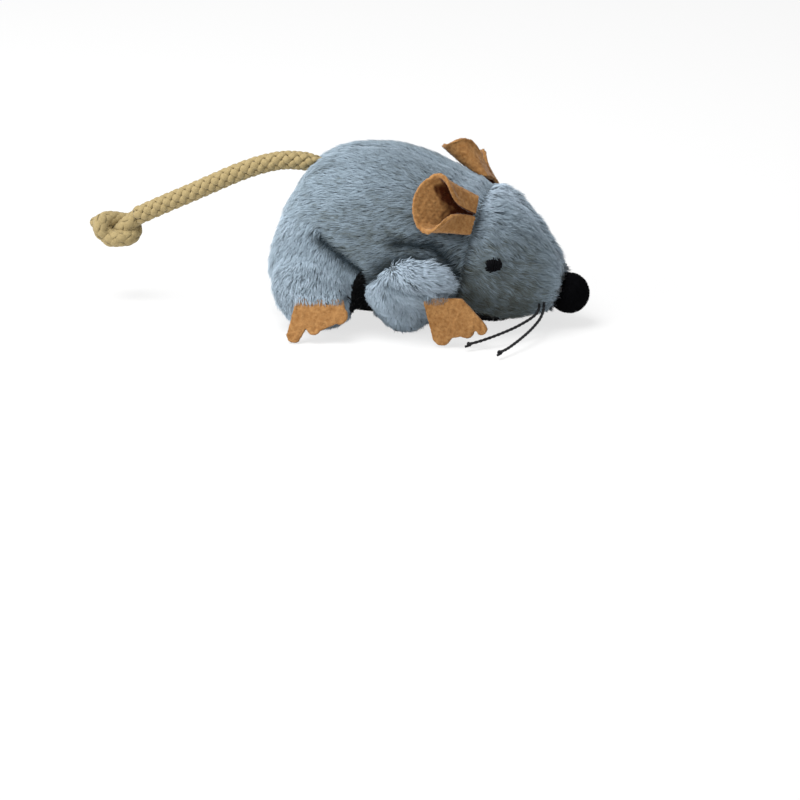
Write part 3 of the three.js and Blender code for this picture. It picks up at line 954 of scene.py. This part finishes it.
class MOUSE_OT_stage(MouseOperator, bpy.types.Operator):
    """Sets the camera, a pale floor and soft lights"""

    bl_idname = "mouse.stage"
    bl_label = "Stage"

    def execute(self, context):
        settings = context.scene.mouse_stage
        context.scene.view_settings.view_transform = "Standard"
        turn, rise = settings.azimuth, settings.elevation
        right = Vector((math.cos(turn), math.sin(turn), 0))
        back = Vector((math.sin(turn) * math.cos(rise), -math.cos(turn) * math.cos(rise), math.sin(rise)))
        up = back.cross(right)
        aim = -settings.across * right - settings.below * up
        camera = bpy.data.cameras.new("camera")
        camera.sensor_width = 36
        camera.lens = camera.sensor_width * settings.distance / settings.width
        camera.clip_end = 10
        viewer = bpy.data.objects.new("camera", camera)
        viewer.location = aim + back * settings.distance
        viewer.rotation_euler = back.to_track_quat("Z", "Y").to_euler()
        context.scene.collection.objects.link(viewer)
        context.scene.camera = viewer
        self.floor(context)
        self.world(context, settings)
        self.lamp(context, "key_light", (-0.2, -0.12, 0.7), 0.5, settings.key)
        self.lamp(context, "side_light", (-0.65, -0.45, 0.3), 0.6, settings.fill)
        return {"FINISHED"}

    def floor(self, context):
        half = 3
        mesh = bpy.data.meshes.new("floor")
        corners = [(-half, -half, 0), (half, -half, 0), (half, half, 0), (-half, half, 0)]
        mesh.from_pydata(corners, [], [(0, 1, 2, 3)])
        look = Look("pale_floor", 0.9, specular=0.0)
        look.shader.inputs["Base Color"].default_value = (0.86, 0.86, 0.86, 1)
        plain = look.shader.outputs["BSDF"]
        self.white_for_the_view(look.tree, plain, "ShaderNodeEmission", "ShaderNodeOutputMaterial", 0.72)
        mesh.materials.append(look.material)
        floor = bpy.data.objects.new("floor", mesh)
        context.scene.collection.objects.link(floor)

    def white_for_the_view(self, tree, plain, white_type, output_type, share):
        """Mixes plain white in where the camera, a gloss or a clear piece sees the surface"""
        nodes, links = tree.nodes, tree.links
        output = next(node for node in nodes if node.bl_idname == output_type)
        path = nodes.new("ShaderNodeLightPath")
        seen = path.outputs["Is Camera Ray"]
        for ray in ("Is Glossy Ray", "Is Transmission Ray"):
            most = nodes.new("ShaderNodeMath")
            most.operation = "MAXIMUM"
            links.new(seen, most.inputs[0])
            links.new(path.outputs[ray], most.inputs[1])
            seen = most.outputs[0]
        part = nodes.new("ShaderNodeMath")
        part.operation = "MULTIPLY"
        part.inputs[1].default_value = share
        links.new(seen, part.inputs[0])
        white = nodes.new(white_type)
        white.inputs["Color"].default_value = (1, 1, 1, 1)
        white.inputs["Strength"].default_value = 1
        mix = nodes.new("ShaderNodeMixShader")
        links.new(part.outputs[0], mix.inputs[0])
        links.new(plain, mix.inputs[1])
        links.new(white.outputs[0], mix.inputs[2])
        links.new(mix.outputs[0], output.inputs["Surface"])

    def world(self, context, settings):
        world = bpy.data.worlds.new("studio")
        world.use_nodes = True
        context.scene.world = world
        tree = world.node_tree
        plain = tree.nodes["Background"]
        plain.inputs["Color"].default_value = (1, 1, 1, 1)
        plain.inputs["Strength"].default_value = settings.world
        self.white_for_the_view(tree, plain.outputs[0], "ShaderNodeBackground", "ShaderNodeOutputWorld", 1)

    def lamp(self, context, name, place, size, power):
        light = bpy.data.lights.new(name, "AREA")
        light.shape = "DISK"
        light.size = size
        light.energy = power
        lamp = bpy.data.objects.new(name, light)
        lamp.location = place
        lamp.rotation_euler = Vector(place).to_track_quat("Z", "Y").to_euler()
        context.scene.collection.objects.link(lamp)


class MOUSE_OT_cloth(MouseOperator, bpy.types.Operator):
    """Makes the sewn cloth of body, head and legs"""

    bl_idname = "mouse.cloth"
    bl_label = "Cloth"

    def execute(self, context):
        settings = context.scene.mouse_pile
        backing = knit_material("pile_backing", tuple(settings.backing))
        black = knit_material("belly_cloth", tuple(settings.belly))
        for number, patch in enumerate(PATCHES):
            part = body_cloth().part(patch_faces(number))
            belly = patch == "belly_panel"
            piece = add_piece(
                patch.replace("panel", "cloth").replace("hind_leg", "hind_leg_cloth"),
                part.points,
                part.triangles,
                black if belly else backing,
                BODY,
            )
            self.thicken(piece)
            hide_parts(patch)
        for side in SIDES:
            pouch = leg_cloth(side)
            name = f"front_leg_cloth_{side}"
            piece = add_piece(name, pouch.points, pouch.triangles, backing, BODY)
            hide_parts(f"front_leg_{side}")
        return {"FINISHED"}

    def thicken(self, piece):
        thick = piece.modifiers.new("thickness", "SOLIDIFY")
        thick.thickness = CLOTH_THICKNESS
        thick.offset = -1


class MOUSE_OT_filling(MouseOperator, bpy.types.Operator):
    """Fills body and legs with loose fibre"""

    bl_idname = "mouse.filling"
    bl_label = "Filling"

    def execute(self, context):
        self.fill("body_stuffing", "body_filling", 2 * MM, 0.9)
        for side in SIDES:
            self.fill(f"front_leg_stuffing_{side}", f"front_leg_filling_{side}", 1 * MM, 0.66)
            self.fill(f"hind_leg_stuffing_{side}", f"hind_leg_filling_{side}", 1 * MM, 0.58)
        return {"FINISHED"}

    def fill(self, node, name, voxel, size):
        """Loose, lumpy fibre in the shape of the stuffing, but smaller than the drawn-in cloth round it"""
        surface = remeshed((node,), voxel, 0).smooth(6)
        middle = node_middle(node)
        lumps = 0.3 * MM * waves(surface.points, 4 * MM, len(name))
        points = middle + size * (surface.points - middle) + surface.normals() * lumps[:, None]
        piece = add_piece(name, points, surface.triangles, fibre_material(), BODY)
        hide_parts(node)


class MOUSE_OT_pile(MouseOperator, bpy.types.Operator):
    """Grows the pile on every panel and leg"""

    bl_idname = "mouse.pile"
    bl_label = "Pile"

    def execute(self, context):
        settings = context.scene.mouse_pile
        for number, patch in enumerate(PATCHES):
            if patch.startswith("back"):
                self.back(settings, number, patch)
            elif patch.startswith("head"):
                self.head(settings, number, patch)
            elif patch.startswith("hind"):
                self.hind_leg(settings, number, patch)
            else:
                self.belly(settings, number)
        for side in SIDES:
            self.front_leg(settings, side, 120 + SIDES.index(side))
        return {"FINISHED"}

    def body_tufts(self, number, density):
        """Tufts of one panel or hind leg, apart from those that a front leg covers"""
        tufts = Tufts(body_cloth(), density, 11 + number, patch_faces(number))
        hidden = np.zeros(len(tufts.root), dtype=bool)
        probe = tufts.root + tufts.normal * 2.6 * MM
        for side in SIDES:
            low, high = node_box(f"front_leg_{side}")
            tree = leg_surface(side).tree
            for index in np.flatnonzero(((probe > low) & (probe < high)).all(axis=1) & ~hidden):
                deep = clearances(tree, probe[[index]])[0] < -1.5 * MM
                hidden[index] = deep and encloses(tree, probe[index])
        tufts.keep(~hidden)
        tufts.seam = tufts.value(seam_distance())
        # Painted shade for roots in creases and in the nooks beside the legs and under the ears
        tufts.nook = self.nooks(tufts.root)
        tufts.painted_shade = 0.96 * tufts.nook
        return tufts

    def nooks(self, points):
        """How deep each root lies in a crease, in the nook beside a leg or under an ear, from 0 to 1"""
        deep = near_line(points, HAUNCH_CREASE, 2.6 * MM)
        deep = np.maximum(deep, near_line(points, NECK_FOLD, 3.6 * MM))
        for side in SIDES:
            for name, width in (("front_leg", 4.5 * MM), ("ear", 3 * MM)):
                low, high = node_box(f"{name}_{side}")
                margin = 1.6 * width
                near = np.flatnonzero(((points > low - margin) & (points < high + margin)).all(axis=1))
                if name == "ear":
                    under = points[near, 2] < (low[2] + high[2]) / 2 - 2 * MM
                    near = near[under & (points[near, 0] < high[0] - 1.5 * MM)]
                    tree = node_surface(f"{name}_{side}").tree
                else:
                    tree = leg_surface(side).tree
                deep[near] = np.maximum(deep[near], bell(distances(tree, points[near]), width))
        return deep

    def finish_patch(self, tufts, name, tone, slot="pile_cloth", material=None, paws=False):
        """Shortens the pile at seams, which take up its roots, fits it round nose and felt, and builds it"""
        taken = 0.2 + 0.35 * on_the_ridge(tufts.root)
        tufts.shorten(1 - taken * bell(tufts.seam, 0.9 * MM))
        tufts.tone = tone
        tufts.width = bpy.context.scene.mouse_pile.width * tufts.rng.uniform(0.75, 1.2, len(tufts.root))
        tufts.push_out(node_middle("nose"), NOSE_CLEARANCE)
        felt_paws = felt_in_the_pile(("front_paw", "hind_paw"))
        if paws:
            tufts.lay_over(felt_paws, PAW_OVERHANG)
        tufts.trim_at(felt_in_the_pile(("ear",)) + felt_paws)
        tufts.build(name, tufts.width, tufts.tone, material or pile_material(), BODY, slot)

    def back(self, settings, number, panel):
        """The back's pile lies towards the rump, and hangs down over the haunch"""
        side = panel.rsplit("_", 1)[1]
        tufts = self.body_tufts(number, settings.density)
        direction = np.broadcast_to((-1.0, 0.0, -0.16), tufts.root.shape)
        haunch = on_the_haunch(tufts.root)
        direction = direction + haunch[:, None] * np.array((0.9, 0, -0.7))
        length = settings.back_length + haunch * (settings.leg_length - settings.back_length)
        tone = comb_pile(tufts, direction, length, 24 + 8 * haunch, 0.35, 30 + number, (2.6, 1, 1))
        # Painted light and shade: the flank darker as painted shade, a painted highlight along the ridge
        # beside painted shade in the seam, the haunch lighter as painted light, the nape lighter, and painted
        # shade in the nooks
        flank = (tufts.root[:, 0] + 6 * MM) / (24 * MM), (tufts.root[:, 2] - 34 * MM) / (14 * MM)
        ridge = on_the_ridge(tufts.root)
        seam_shading = 0.1 * bell(tufts.seam - 1.6 * MM, MM) - 0.2 * bell(tufts.seam, MM)
        shaded = 0.12 * np.exp(-(flank[0] ** 2) - flank[1] ** 2)
        tone = tone + 0.03 - shaded + ridge * (seam_shading + 0.05)
        nape = np.clip((tufts.root[:, 0] - 2 * MM) / (12 * MM), 0, 1)
        nape = nape * np.clip((tufts.root[:, 2] - 36 * MM) / (8 * MM), 0, 1)
        tufts.tone = tone + 0.1 * haunch + 0.12 * nape - 0.1 * tufts.nook
        middle = np.median(tufts.root[:, 0])
        for part, mask in (("rear", tufts.root[:, 0] < middle), ("fore", tufts.root[:, 0] >= middle)):
            patch = tufts.part(mask)
            self.finish_patch(patch, f"back_pile_{part}_{side}", patch.tone)

    def head(self, settings, number, panel):
        """The head's pile lies towards the nose, where it is shorter, and parts round the eye"""
        side = panel.rsplit("_", 1)[1]
        tufts = self.body_tufts(number, settings.density * 1.15)
        eye = node_middle(f"eye_{side}")
        tufts.keep(np.linalg.norm(tufts.root - eye, axis=1) > EYE_BARE)
        # Less painted crease shade on the head
        tufts.painted_shade = 0.4 * tufts.painted_shade
        direction = np.broadcast_to((1.0, 0.0, -0.45), tufts.root.shape)
        before = np.linalg.norm(tufts.root - node_middle("nose"), axis=1) - NOSE_CLEARANCE
        length = settings.head_length * (1 - 0.5 * bell(before, 4 * MM))
        tone = comb_pile(tufts, direction, length, 30, 0.6, 60 + number, (1.3, 1, 1), stray=0.22)
        eye = eye + EYE_SHIFT
        _, outward, _, _ = body_surface().tree.find_nearest(eye)
        tufts.part_round(eye, np.array(outward), EYE_PARTING)
        # Painted light and shade: darker towards the chin as painted shade, lighter near the top of the seam
        # to the back, and painted highlights on the muzzle and along the ridge
        height = np.clip((tufts.root[:, 2] - 8 * MM) / (36 * MM), 0, 1)
        behind = bell(tufts.seam, 5 * MM) * np.clip(height * 2 - 0.9, 0, 1)
        ridge = bell(tufts.root[:, 1], 8 * MM) * np.clip(2 * height - 0.3, 0, 1)
        tone = tone - 0.34 + 0.42 * height**1.2 + 0.16 * behind + 0.46 * bell(before, 9 * MM) + 0.22 * ridge
        self.finish_patch(tufts, f"head_pile_{side}", tone)

    def belly(self, settings, number):
        tufts = self.body_tufts(number, settings.density * 0.6)
        direction = np.broadcast_to((-1.0, 0.0, 0.0), tufts.root.shape)
        tone = comb_pile(tufts, direction, settings.nap_length, 40, 0.3, 90)
        black = flock_material("belly_nap", tuple(settings.belly))
        self.finish_patch(tufts, "belly_nap", tone, "black_cloth", black)

    def hind_leg(self, settings, number, patch):
        """The haunch's pile hangs down over the leg"""
        tufts = self.body_tufts(number, settings.density * 1.15)
        outward = (tufts.root - node_middle(patch)) * (1, 0, 1) / (11 * MM)
        outward[:, 0] = np.clip(outward[:, 0], -0.2, 0.6)
        outward[:, 2] = np.minimum(outward[:, 2], 0)
        direction = 0.3 * outward + np.array((-0.05, 0, -0.8))
        forward = np.clip((tufts.root[:, 0] + 27 * MM) / (6 * MM), 0, 1)
        length = settings.leg_length * (1 - 0.55 * forward)
        # Painted light: the haunch's pile lighter, with painted shade in the nooks
        tone = comb_pile(tufts, direction, length, 32, 0.35, 320 + number) + 0.17 - 0.1 * tufts.nook
        self.finish_patch(tufts, patch.replace("hind_leg", "hind_leg_pile"), tone, paws=True)

    def front_leg(self, settings, side, seed):
        """The pile spreads from a whorl high on the leg, shorter towards the hind leg and under the fold"""
        tufts = Tufts(leg_cloth(side), settings.density * 1.4, seed)
        clear = clearances(body_surface().tree, tufts.root + tufts.normal * 1.2 * MM)
        tufts.keep(clear > 0.4 * MM)
        middle = node_middle(f"front_leg_{side}")
        whorl = middle + np.array((-6, 0, 11)) * MM
        direction = (tufts.root - whorl) * (1, 0, 1) / (11 * MM)
        direction = direction / (np.linalg.norm(direction, axis=1, keepdims=True) + 0.2)
        backward = np.clip((middle[0] - tufts.root[:, 0]) / (11 * MM) - 0.2, 0, 1)
        fold = near_line(tufts.root, FRONT_FOLD, 1.3 * MM)
        (start_x, start_z), (end_x, end_z) = FRONT_FOLD
        slope = (end_z - start_z) / (end_x - start_x)
        above = tufts.root[:, 2] - start_z - slope * (tufts.root[:, 0] - start_x)
        under = soft_step(-above, 0.8 * MM)
        length = settings.leg_length * (1.1 - 0.5 * backward) * (1 - 0.2 * under)
        tone = comb_pile(tufts, direction, length, 40 - 12 * under, 0.35, seed + 200, stray=0.11)
        # Painted light on the leg, with painted shade under the fold and in it
        tone = tone + 0.36 - 0.16 * under - 0.2 * fold
        tufts.painted_shade = 0.5 * fold
        tufts.seam = 3 * MM * (1 - fold)
        self.finish_patch(tufts, f"front_leg_pile_{side}", tone, paws=True)


class MOUSE_OT_felt(MouseOperator, bpy.types.Operator):
    """Cuts ears and paws from felt"""

    bl_idname = "mouse.felt"
    bl_label = "Ears and paws"

    def execute(self, context):
        settings = context.scene.mouse_felt
        for number, side in enumerate(SIDES):
            self.cut(settings, f"ear_{side}", EAR_FLAT, "folded", 5 + number)
            self.cut(settings, f"front_paw_{side}", FRONT_PAW_FLAT, "hung", 15 + number)
            self.cut(settings, f"hind_paw_{side}", HIND_PAW_FLAT, "hung", 25 + number)
        return {"FINISHED"}

    def cut(self, settings, node, flat, held, seed):
        """One felt piece with an uneven face and loose fibres on it"""
        surface = remeshed((node,), FELT_GRID, FELT_GAP).smooth(5)
        uneven = waves(surface.points, 1.6 * MM, seed) + 0.6 * waves(surface.points, 0.7 * MM, seed + 1)
        felt = surface.drawn_in(-settings.roughness * uneven)
        felt.points[:, 2] = np.maximum(felt.points[:, 2], FLOOR)
        piece = add_piece(f"{node}_felt", felt.points, felt.triangles, felt_material(), node)
        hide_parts(node)
        # The hollow measure carries painted shade into the felt and its fuzz where the folds face each other
        hollow = self.hollow(felt)
        layer = piece.data.attributes.new("hollow", "FLOAT", "POINT")
        layer.data.foreach_set("value", hollow.astype(np.float32))
        fuzz = Tufts(felt, settings.fuzz_density, seed + 2)
        fuzz.ruffle(settings.fuzz_length, (0.4, 1), (8, 45), 20)
        width = np.full(len(fuzz.root), 0.07 * MM)
        tone = fuzz.rng.uniform(0, 1, len(fuzz.root)) * (1 - fuzz.value(hollow))
        loose = fuzz.build(f"{node}_fuzz", width, tone, felt_fuzz_material(), node, "felt", softness=0.8)

    def hollow(self, felt):
        """How close each point of the felt faces another part of it, from 0 to 1"""
        reach = 9 * MM
        ways = unit(np.random.default_rng(1).normal(size=(10, 3)))
        facing = np.zeros(len(felt.points))
        for index, (point, normal) in enumerate(zip(felt.points, felt.normals())):
            start = point + normal * 0.2 * MM
            for way in unit(ways * 0.9 + normal):
                facing[index] += felt.tree.ray_cast(start, way, reach)[0] is not None
        return np.clip(felt.spread(facing / len(ways), 8)[:, 0] * 2.4 - 0.4, 0, 1)


class MOUSE_OT_face(MouseOperator, bpy.types.Operator):
    """Makes the flocked nose and the stitched eyes"""

    bl_idname = "mouse.face"
    bl_label = "Nose and eyes"

    def execute(self, context):
        settings = context.scene.mouse_face
        self.nose(settings)
        for side in SIDES:
            self.eye(settings, side)
        return {"FINISHED"}

    def nose(self, settings):
        surface = remeshed(("nose",), NOSE_GRID, 0).smooth(10)
        low, high = node_box("nose")
        radius = (high[0] - low[0]) / 2 - 0.15 * MM
        lumps = 1 + 0.006 * waves(surface.points, 3 * MM, 3)
        middle = node_middle("nose")
        surface.points = middle + unit(surface.points - middle) * radius * lumps[:, None]
        black = flock_material("nose_flock", tuple(settings.black))
        uv = np.full((len(surface.points), 2), 0.3) + 0.01 * waves(surface.points, MM, 8)[:, None]
        ball = add_piece("nose_ball", surface.points, surface.triangles, black, BODY, uv)
        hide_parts("nose")
        flock = Tufts(surface, 14, 44)
        flock.ruffle(settings.flock_length, (0.6, 1.1), (45, 85), 8)
        width = np.full(len(flock.root), 0.1 * MM)
        flock.build("nose_flock", width, flock.rng.random(len(width)), black, BODY, "nose_flock", 0.8)

    def eye(self, settings, side):
        """Satin stitch: threads that rise out of the cloth at one edge of an oval and dive in at the other"""
        middle = node_middle(f"eye_{side}") + EYE_SHIFT
        place, outward, _, _ = body_surface().tree.find_nearest(middle)
        outward = np.array(outward)
        sideways = -1 if side == "right" else 1
        forward = unit(np.cross(outward, (0, 0, 1)) * -sideways)
        upward = unit(np.cross(forward, outward)) * sideways
        upward = upward * math.copysign(1, upward[2])
        rng = np.random.default_rng(70)
        points, triangles = [], []
        rows = 11
        start = 0
        for layer, lean in enumerate((0.35, -0.5)):
            for row in range(rows):
                share = (row + 0.5) / rows * 2 - 1 + rng.normal(scale=0.03)
                half = settings.eye_height / 2 * math.sqrt(max(1 - share**2, 0.05))
                half *= rng.uniform(0.82, 1.12)
                across = share * settings.eye_length / 2
                run = np.linspace(-1, 1, 9)
                lift = (1 - run**4) * (1.0 + 0.35 * layer) * MM - 0.7 * MM * np.abs(run) ** 6
                path = (
                    np.array(place)
                    + forward * (across + lean * run * half * 0.5)[:, None]
                    + upward * (run * half)[:, None]
                    + outward * lift[:, None]
                )
                tube, faces = sweep(path, round_section(settings.thread_diameter / 2, 6))
                points.append(tube)
                triangles.append(faces + start)
                start += len(tube)
        piece = add_piece(
            f"eye_stitches_{side}",
            np.concatenate(points),
            np.concatenate(triangles),
            thread_material(),
            BODY,
        )
        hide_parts(f"eye_{side}")


# Cords


def smooth_route(route, step):
    """A route's points joined by one smooth curve, evenly spaced"""
    points = np.array(route, dtype=float)
    padded = np.concatenate([[2 * points[0] - points[1]], points, [2 * points[-1] - points[-2]]])
    fine = []
    for before, start, end, after in zip(padded, padded[1:], padded[2:], padded[3:]):
        for share in np.linspace(0, 1, 16, endpoint=False):
            square, cube = share**2, share**3
            fine.append(
                0.5
                * (
                    2 * start
                    + (end - before) * share
                    + (2 * before - 5 * start + 4 * end - after) * square
                    + (3 * start - before - 3 * end + after) * cube
                )
            )
    fine.append(points[-1])
    fine = np.array(fine)
    travelled = np.concatenate([[0], np.cumsum(np.linalg.norm(np.diff(fine, axis=0), axis=1))])
    wanted = np.linspace(0, travelled[-1], max(int(travelled[-1] / step), 4) + 1)
    even = np.stack([np.interp(wanted, travelled, fine[:, axis]) for axis in range(3)], axis=1)
    return even, travelled[-1]


def frames_along(path):
    """Two directions square to the path at each point, carried along without twist"""
    heading = unit(np.gradient(path, axis=0))
    guide = np.array((0.0, 0.0, 1.0)) if abs(heading[0][2]) < 0.9 else np.array((0.0, 1.0, 0.0))
    first = []
    current = unit(guide - heading[0] * (guide @ heading[0]))
    for direction in heading:
        current = unit(current - direction * (current @ direction))
        first.append(current)
    first = np.array(first)
    return first, np.cross(heading, first)


def round_section(radius, sides):
    angles = np.arange(sides) * 2 * math.pi / sides
    return radius * np.stack([np.cos(angles), np.sin(angles)], axis=1)


def sweep(path, section, scale=None):
    """A closed tube of one section along a path. The scale, if given, is one number for each point."""
    first, second = frames_along(path)
    scale = np.ones(len(path)) if scale is None else scale
    sections = section if section.ndim == 3 else np.broadcast_to(section, (len(path), *section.shape))
    rings = (
        path[:, None]
        + first[:, None] * (sections[:, :, :1] * scale[:, None, None])
        + second[:, None] * (sections[:, :, 1:] * scale[:, None, None])
    )
    sides = sections.shape[1]
    points = np.concatenate([rings.reshape(-1, 3), path[:1], path[-1:]])
    here = np.arange(sides)
    there = (here + 1) % sides
    faces = []
    for ring in range(len(path) - 1):
        low, high = ring * sides, (ring + 1) * sides
        faces.append(np.stack([low + here, low + there, high + there], axis=1))
        faces.append(np.stack([low + here, high + there, high + here], axis=1))
    last = (len(path) - 1) * sides
    start, end = len(points) - 2, len(points) - 1
    faces.append(np.stack([np.full(sides, start), there, here], axis=1))
    faces.append(np.stack([np.full(sides, end), last + here, last + there], axis=1))
    return points, np.concatenate(faces)


def braid(route, settings, squeeze=1.0, thickness=None, pull=0.0):
    """Strands wound both ways round a path, over and under each other. A pull of 1 draws them tight."""
    step = settings.stitch / 6
    path, length = smooth_route(route, step)
    scale = np.ones(len(path)) if thickness is None else thickness(np.linspace(0, 1, len(path)) * length)
    first, second = frames_along(path)
    travelled = np.linspace(0, length, len(path))
    carriers = settings.carriers
    beat = math.pi * travelled / settings.stitch
    middle_radius = scale * squeeze * (settings.diameter / 2 - 0.95 * MM)
    width = 2 * math.pi * middle_radius / carriers * (0.42 + 0.1 * pull)
    points, triangles, uv = [], [], []
    start = 0
    for way in (1, -1):
        for number in range(carriers):
            angle = 2 * math.pi * number / carriers + way * beat / carriers
            over = way * np.cos(beat)
            radius = middle_radius + (0.42 - 0.2 * pull) * MM * squeeze * scale * over
            spoke = first * np.cos(angle)[:, None] + second * np.sin(angle)[:, None]
            line = path + spoke * radius[:, None]
            heading = unit(np.gradient(line, axis=0))
            flat = unit(np.cross(spoke, heading))
            out = unit(np.cross(heading, flat))
            sides = 10
            turn = np.arange(sides) * 2 * math.pi / sides
            plump = 0.92 + 0.12 * over
            across = flat[:, None] * (np.cos(turn)[None] * (width * plump)[:, None])[:, :, None]
            height = 0.6 * MM * squeeze * scale
            thick = out[:, None] * (np.sin(turn)[None] * height[:, None])[:, :, None]
            rings = line[:, None] + across + thick
            shape = rings.reshape(-1, 3)
            shape = np.concatenate([shape, line[:1], line[-1:]])
            points.append(shape)
            _, faces = sweep(path, round_section(1, sides))
            triangles.append(faces + start)
            # Painted shade: strands darker where they dive under others and on their undersides
            depth = np.clip(0.55 + 0.3 * (1 - pull) * over[:, None] + 0.35 * np.sin(turn)[None], 0.02, 0.98)
            place = np.broadcast_to((np.arange(sides) / sides * 0.9 + 0.05)[None], depth.shape)
            strand_uv = np.stack([place, depth], axis=2).reshape(-1, 2)
            uv.append(np.concatenate([strand_uv, [[0.5, 0.2], [0.52, 0.2]]]))
            start += len(shape)
    core, faces = sweep(path, round_section(1, 12), middle_radius * (0.9 + 0.12 * pull))
    points.append(core)
    triangles.append(faces + start)
    # Painted shade: the core between the strands is dark, less so when the braid is pulled tight
    dark = (0.5, 0.03 + 0.3 * pull)
    uv.append(np.tile(dark, (len(core), 1)) + 0.01 * np.random.default_rng(5).random((len(core), 2)))
    return np.concatenate(points), np.concatenate(triangles), np.concatenate(uv), path, length


class MOUSE_OT_tail(MouseOperator, bpy.types.Operator):
    """Braids the rope tail and ties its knot"""

    bl_idname = "mouse.tail"
    bl_label = "Tail"

    def execute(self, context):
        settings = context.scene.mouse_rope
        points, triangles, uv, path, length = braid(TAIL_ROUTE, settings, 1.0, self.gathered)
        rope = add_piece("tail_braid", points, triangles, cotton_material(), "tail", uv)
        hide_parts("tail_rope")
        turns = braid(self.knot_places(KNOT_ROUTE), settings, 0.96, pull=1.0)
        end = braid(self.knot_places(KNOT_END_ROUTE), settings, 0.72, self.frayed, pull=1.0)
        knot = add_piece(
            "tail_knot",
            np.concatenate([turns[0], end[0]]),
            np.concatenate([turns[1], end[1] + len(turns[0])]),
            cotton_material(),
            "tail",
            np.concatenate([turns[2], end[2]]),
        )
        return {"FINISHED"}

    def gathered(self, travelled):
        """The rope is drawn together where it is sewn into the back"""
        return 0.62 + 0.38 * np.clip(travelled / (5 * MM), 0, 1) ** 0.6

    def frayed(self, travelled):
        """The cut end of the rope is rounded off"""
        left = travelled[-1] - travelled
        return np.sqrt(np.clip(left / (1.6 * MM), 0.02, 1))

    def knot_places(self, route):
        turn, tilt = KNOT_TURN, KNOT_TILT
        across = np.array((math.cos(turn), math.sin(turn), 0))
        near = np.array((math.sin(turn) * math.cos(tilt), -math.cos(turn) * math.cos(tilt), math.sin(tilt)))
        up = np.cross(near, across)
        return np.array(KNOT_MIDDLE) + MM * np.array(route) @ np.array((across, up, near))


class MOUSE_OT_whiskers(MouseOperator, bpy.types.Operator):
    """Lays the waxed whiskers, each ending in a small knot"""

    bl_idname = "mouse.whiskers"
    bl_label = "Whiskers"

    def execute(self, context):
        settings = context.scene.mouse_face
        for name, route in (("inner", INNER_WHISKER_ROUTE), ("outer", OUTER_WHISKER_ROUTE)):
            for side in SIDES:
                mirror = 1 if side == "right" else -1
                self.lay(settings, f"{name}_whisker", side, [(x, mirror * y, z) for x, y, z in route])
        return {"FINISHED"}

    def lay(self, settings, name, side, route):
        path, length = smooth_route(route, 0.35 * MM)
        radius = settings.whisker_diameter / 2
        turns = np.arange(12) * 2 * math.pi / 12
        twist = np.linspace(0, length / (1.6 * MM) * math.pi, len(path))
        lobes = 0.86 + 0.14 * np.cos(2 * (turns[None] - twist[:, None]))
        section = radius * np.stack([np.cos(turns) * lobes, np.sin(turns) * lobes], axis=2)
        points, triangles = sweep(path, section)
        cord = add_piece(f"{name}_cord_{side}", points, triangles, waxed_material(), BODY)
        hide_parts(f"{name}_{side}")
        knot = self.knot(settings, path, f"{name}_knot_{side}")

    def knot(self, settings, path, name):
        """A turn of the cord round itself, and its cut end"""
        end = path[-1]
        heading = unit(path[-1] - path[-4])
        guide = unit(np.cross(heading, (0, 0, 1)))
        other = np.cross(heading, guide)
        radius = settings.whisker_diameter / 2
        steps = np.linspace(0, 2 * math.pi * 1.35, 22)
        loop = (
            end
            + guide * (np.cos(steps) * radius * 0.85)[:, None]
            + other * (np.sin(steps) * radius * 0.85)[:, None]
            + heading * np.linspace(-0.4 * MM, 0.35 * MM, 22)[:, None]
        )
        tail = loop[-1] + heading * (np.linspace(0.1, 1.1, 5) * MM)[:, None]
        tail[:, 2] = np.maximum(tail[:, 2], radius * 1.1)
        points, triangles = sweep(np.concatenate([loop, tail]), round_section(radius * 0.8, 8))
        points[:, 2] = np.maximum(points[:, 2], FLOOR)
        return add_piece(name, points, triangles, waxed_material(), BODY)


class MOUSE_PT_panel(bpy.types.Panel):
    """Lists the mouse's pieces in the sidebar"""

    bl_idname = "MOUSE_PT_panel"
    bl_label = "Plush Mouse"
    bl_space_type = "VIEW_3D"
    bl_region_type = "UI"
    bl_category = "Plush Mouse"

    def draw(self, context):
        for group, operators in PANEL_ROWS:
            box = self.layout.box()
            settings = getattr(context.scene, group)
            for name in settings.bl_rna.properties.keys():
                if name not in ("rna_type", "name"):
                    box.prop(settings, name)
            for operator in operators:
                box.operator(operator.bl_idname)


PANEL_ROWS = (
    ("mouse_stage", (MOUSE_OT_stage,)),
    ("mouse_rope", (MOUSE_OT_tail,)),
    ("mouse_face", (MOUSE_OT_whiskers, MOUSE_OT_face)),
    ("mouse_felt", (MOUSE_OT_felt,)),
    ("mouse_pile", (MOUSE_OT_cloth, MOUSE_OT_filling, MOUSE_OT_pile)),
)
SETTINGS = {
    "mouse_stage": StageSettings,
    "mouse_rope": RopeSettings,
    "mouse_face": FaceSettings,
    "mouse_felt": FeltSettings,
    "mouse_pile": PileSettings,
}
OPERATORS = tuple(operator for _, operators in PANEL_ROWS for operator in operators)


def register():
    for name, group in SETTINGS.items():
        bpy.utils.register_class(group)
        setattr(bpy.types.Scene, name, PointerProperty(type=group))
    for item in (*OPERATORS, MOUSE_PT_panel):
        bpy.utils.register_class(item)


def unregister():
    for item in (MOUSE_PT_panel, *reversed(OPERATORS)):
        bpy.utils.unregister_class(item)
    for name, group in SETTINGS.items():
        delattr(bpy.types.Scene, name)
        bpy.utils.unregister_class(group)


def main():
    register()
    bpy.ops.mouse.stage()
    bpy.ops.mouse.tail()
    bpy.ops.mouse.whiskers()
    bpy.ops.mouse.cloth()
    bpy.ops.mouse.filling()
    bpy.ops.mouse.pile()
    bpy.ops.mouse.felt()
    bpy.ops.mouse.face()


if __name__ == "__main__":
    main()
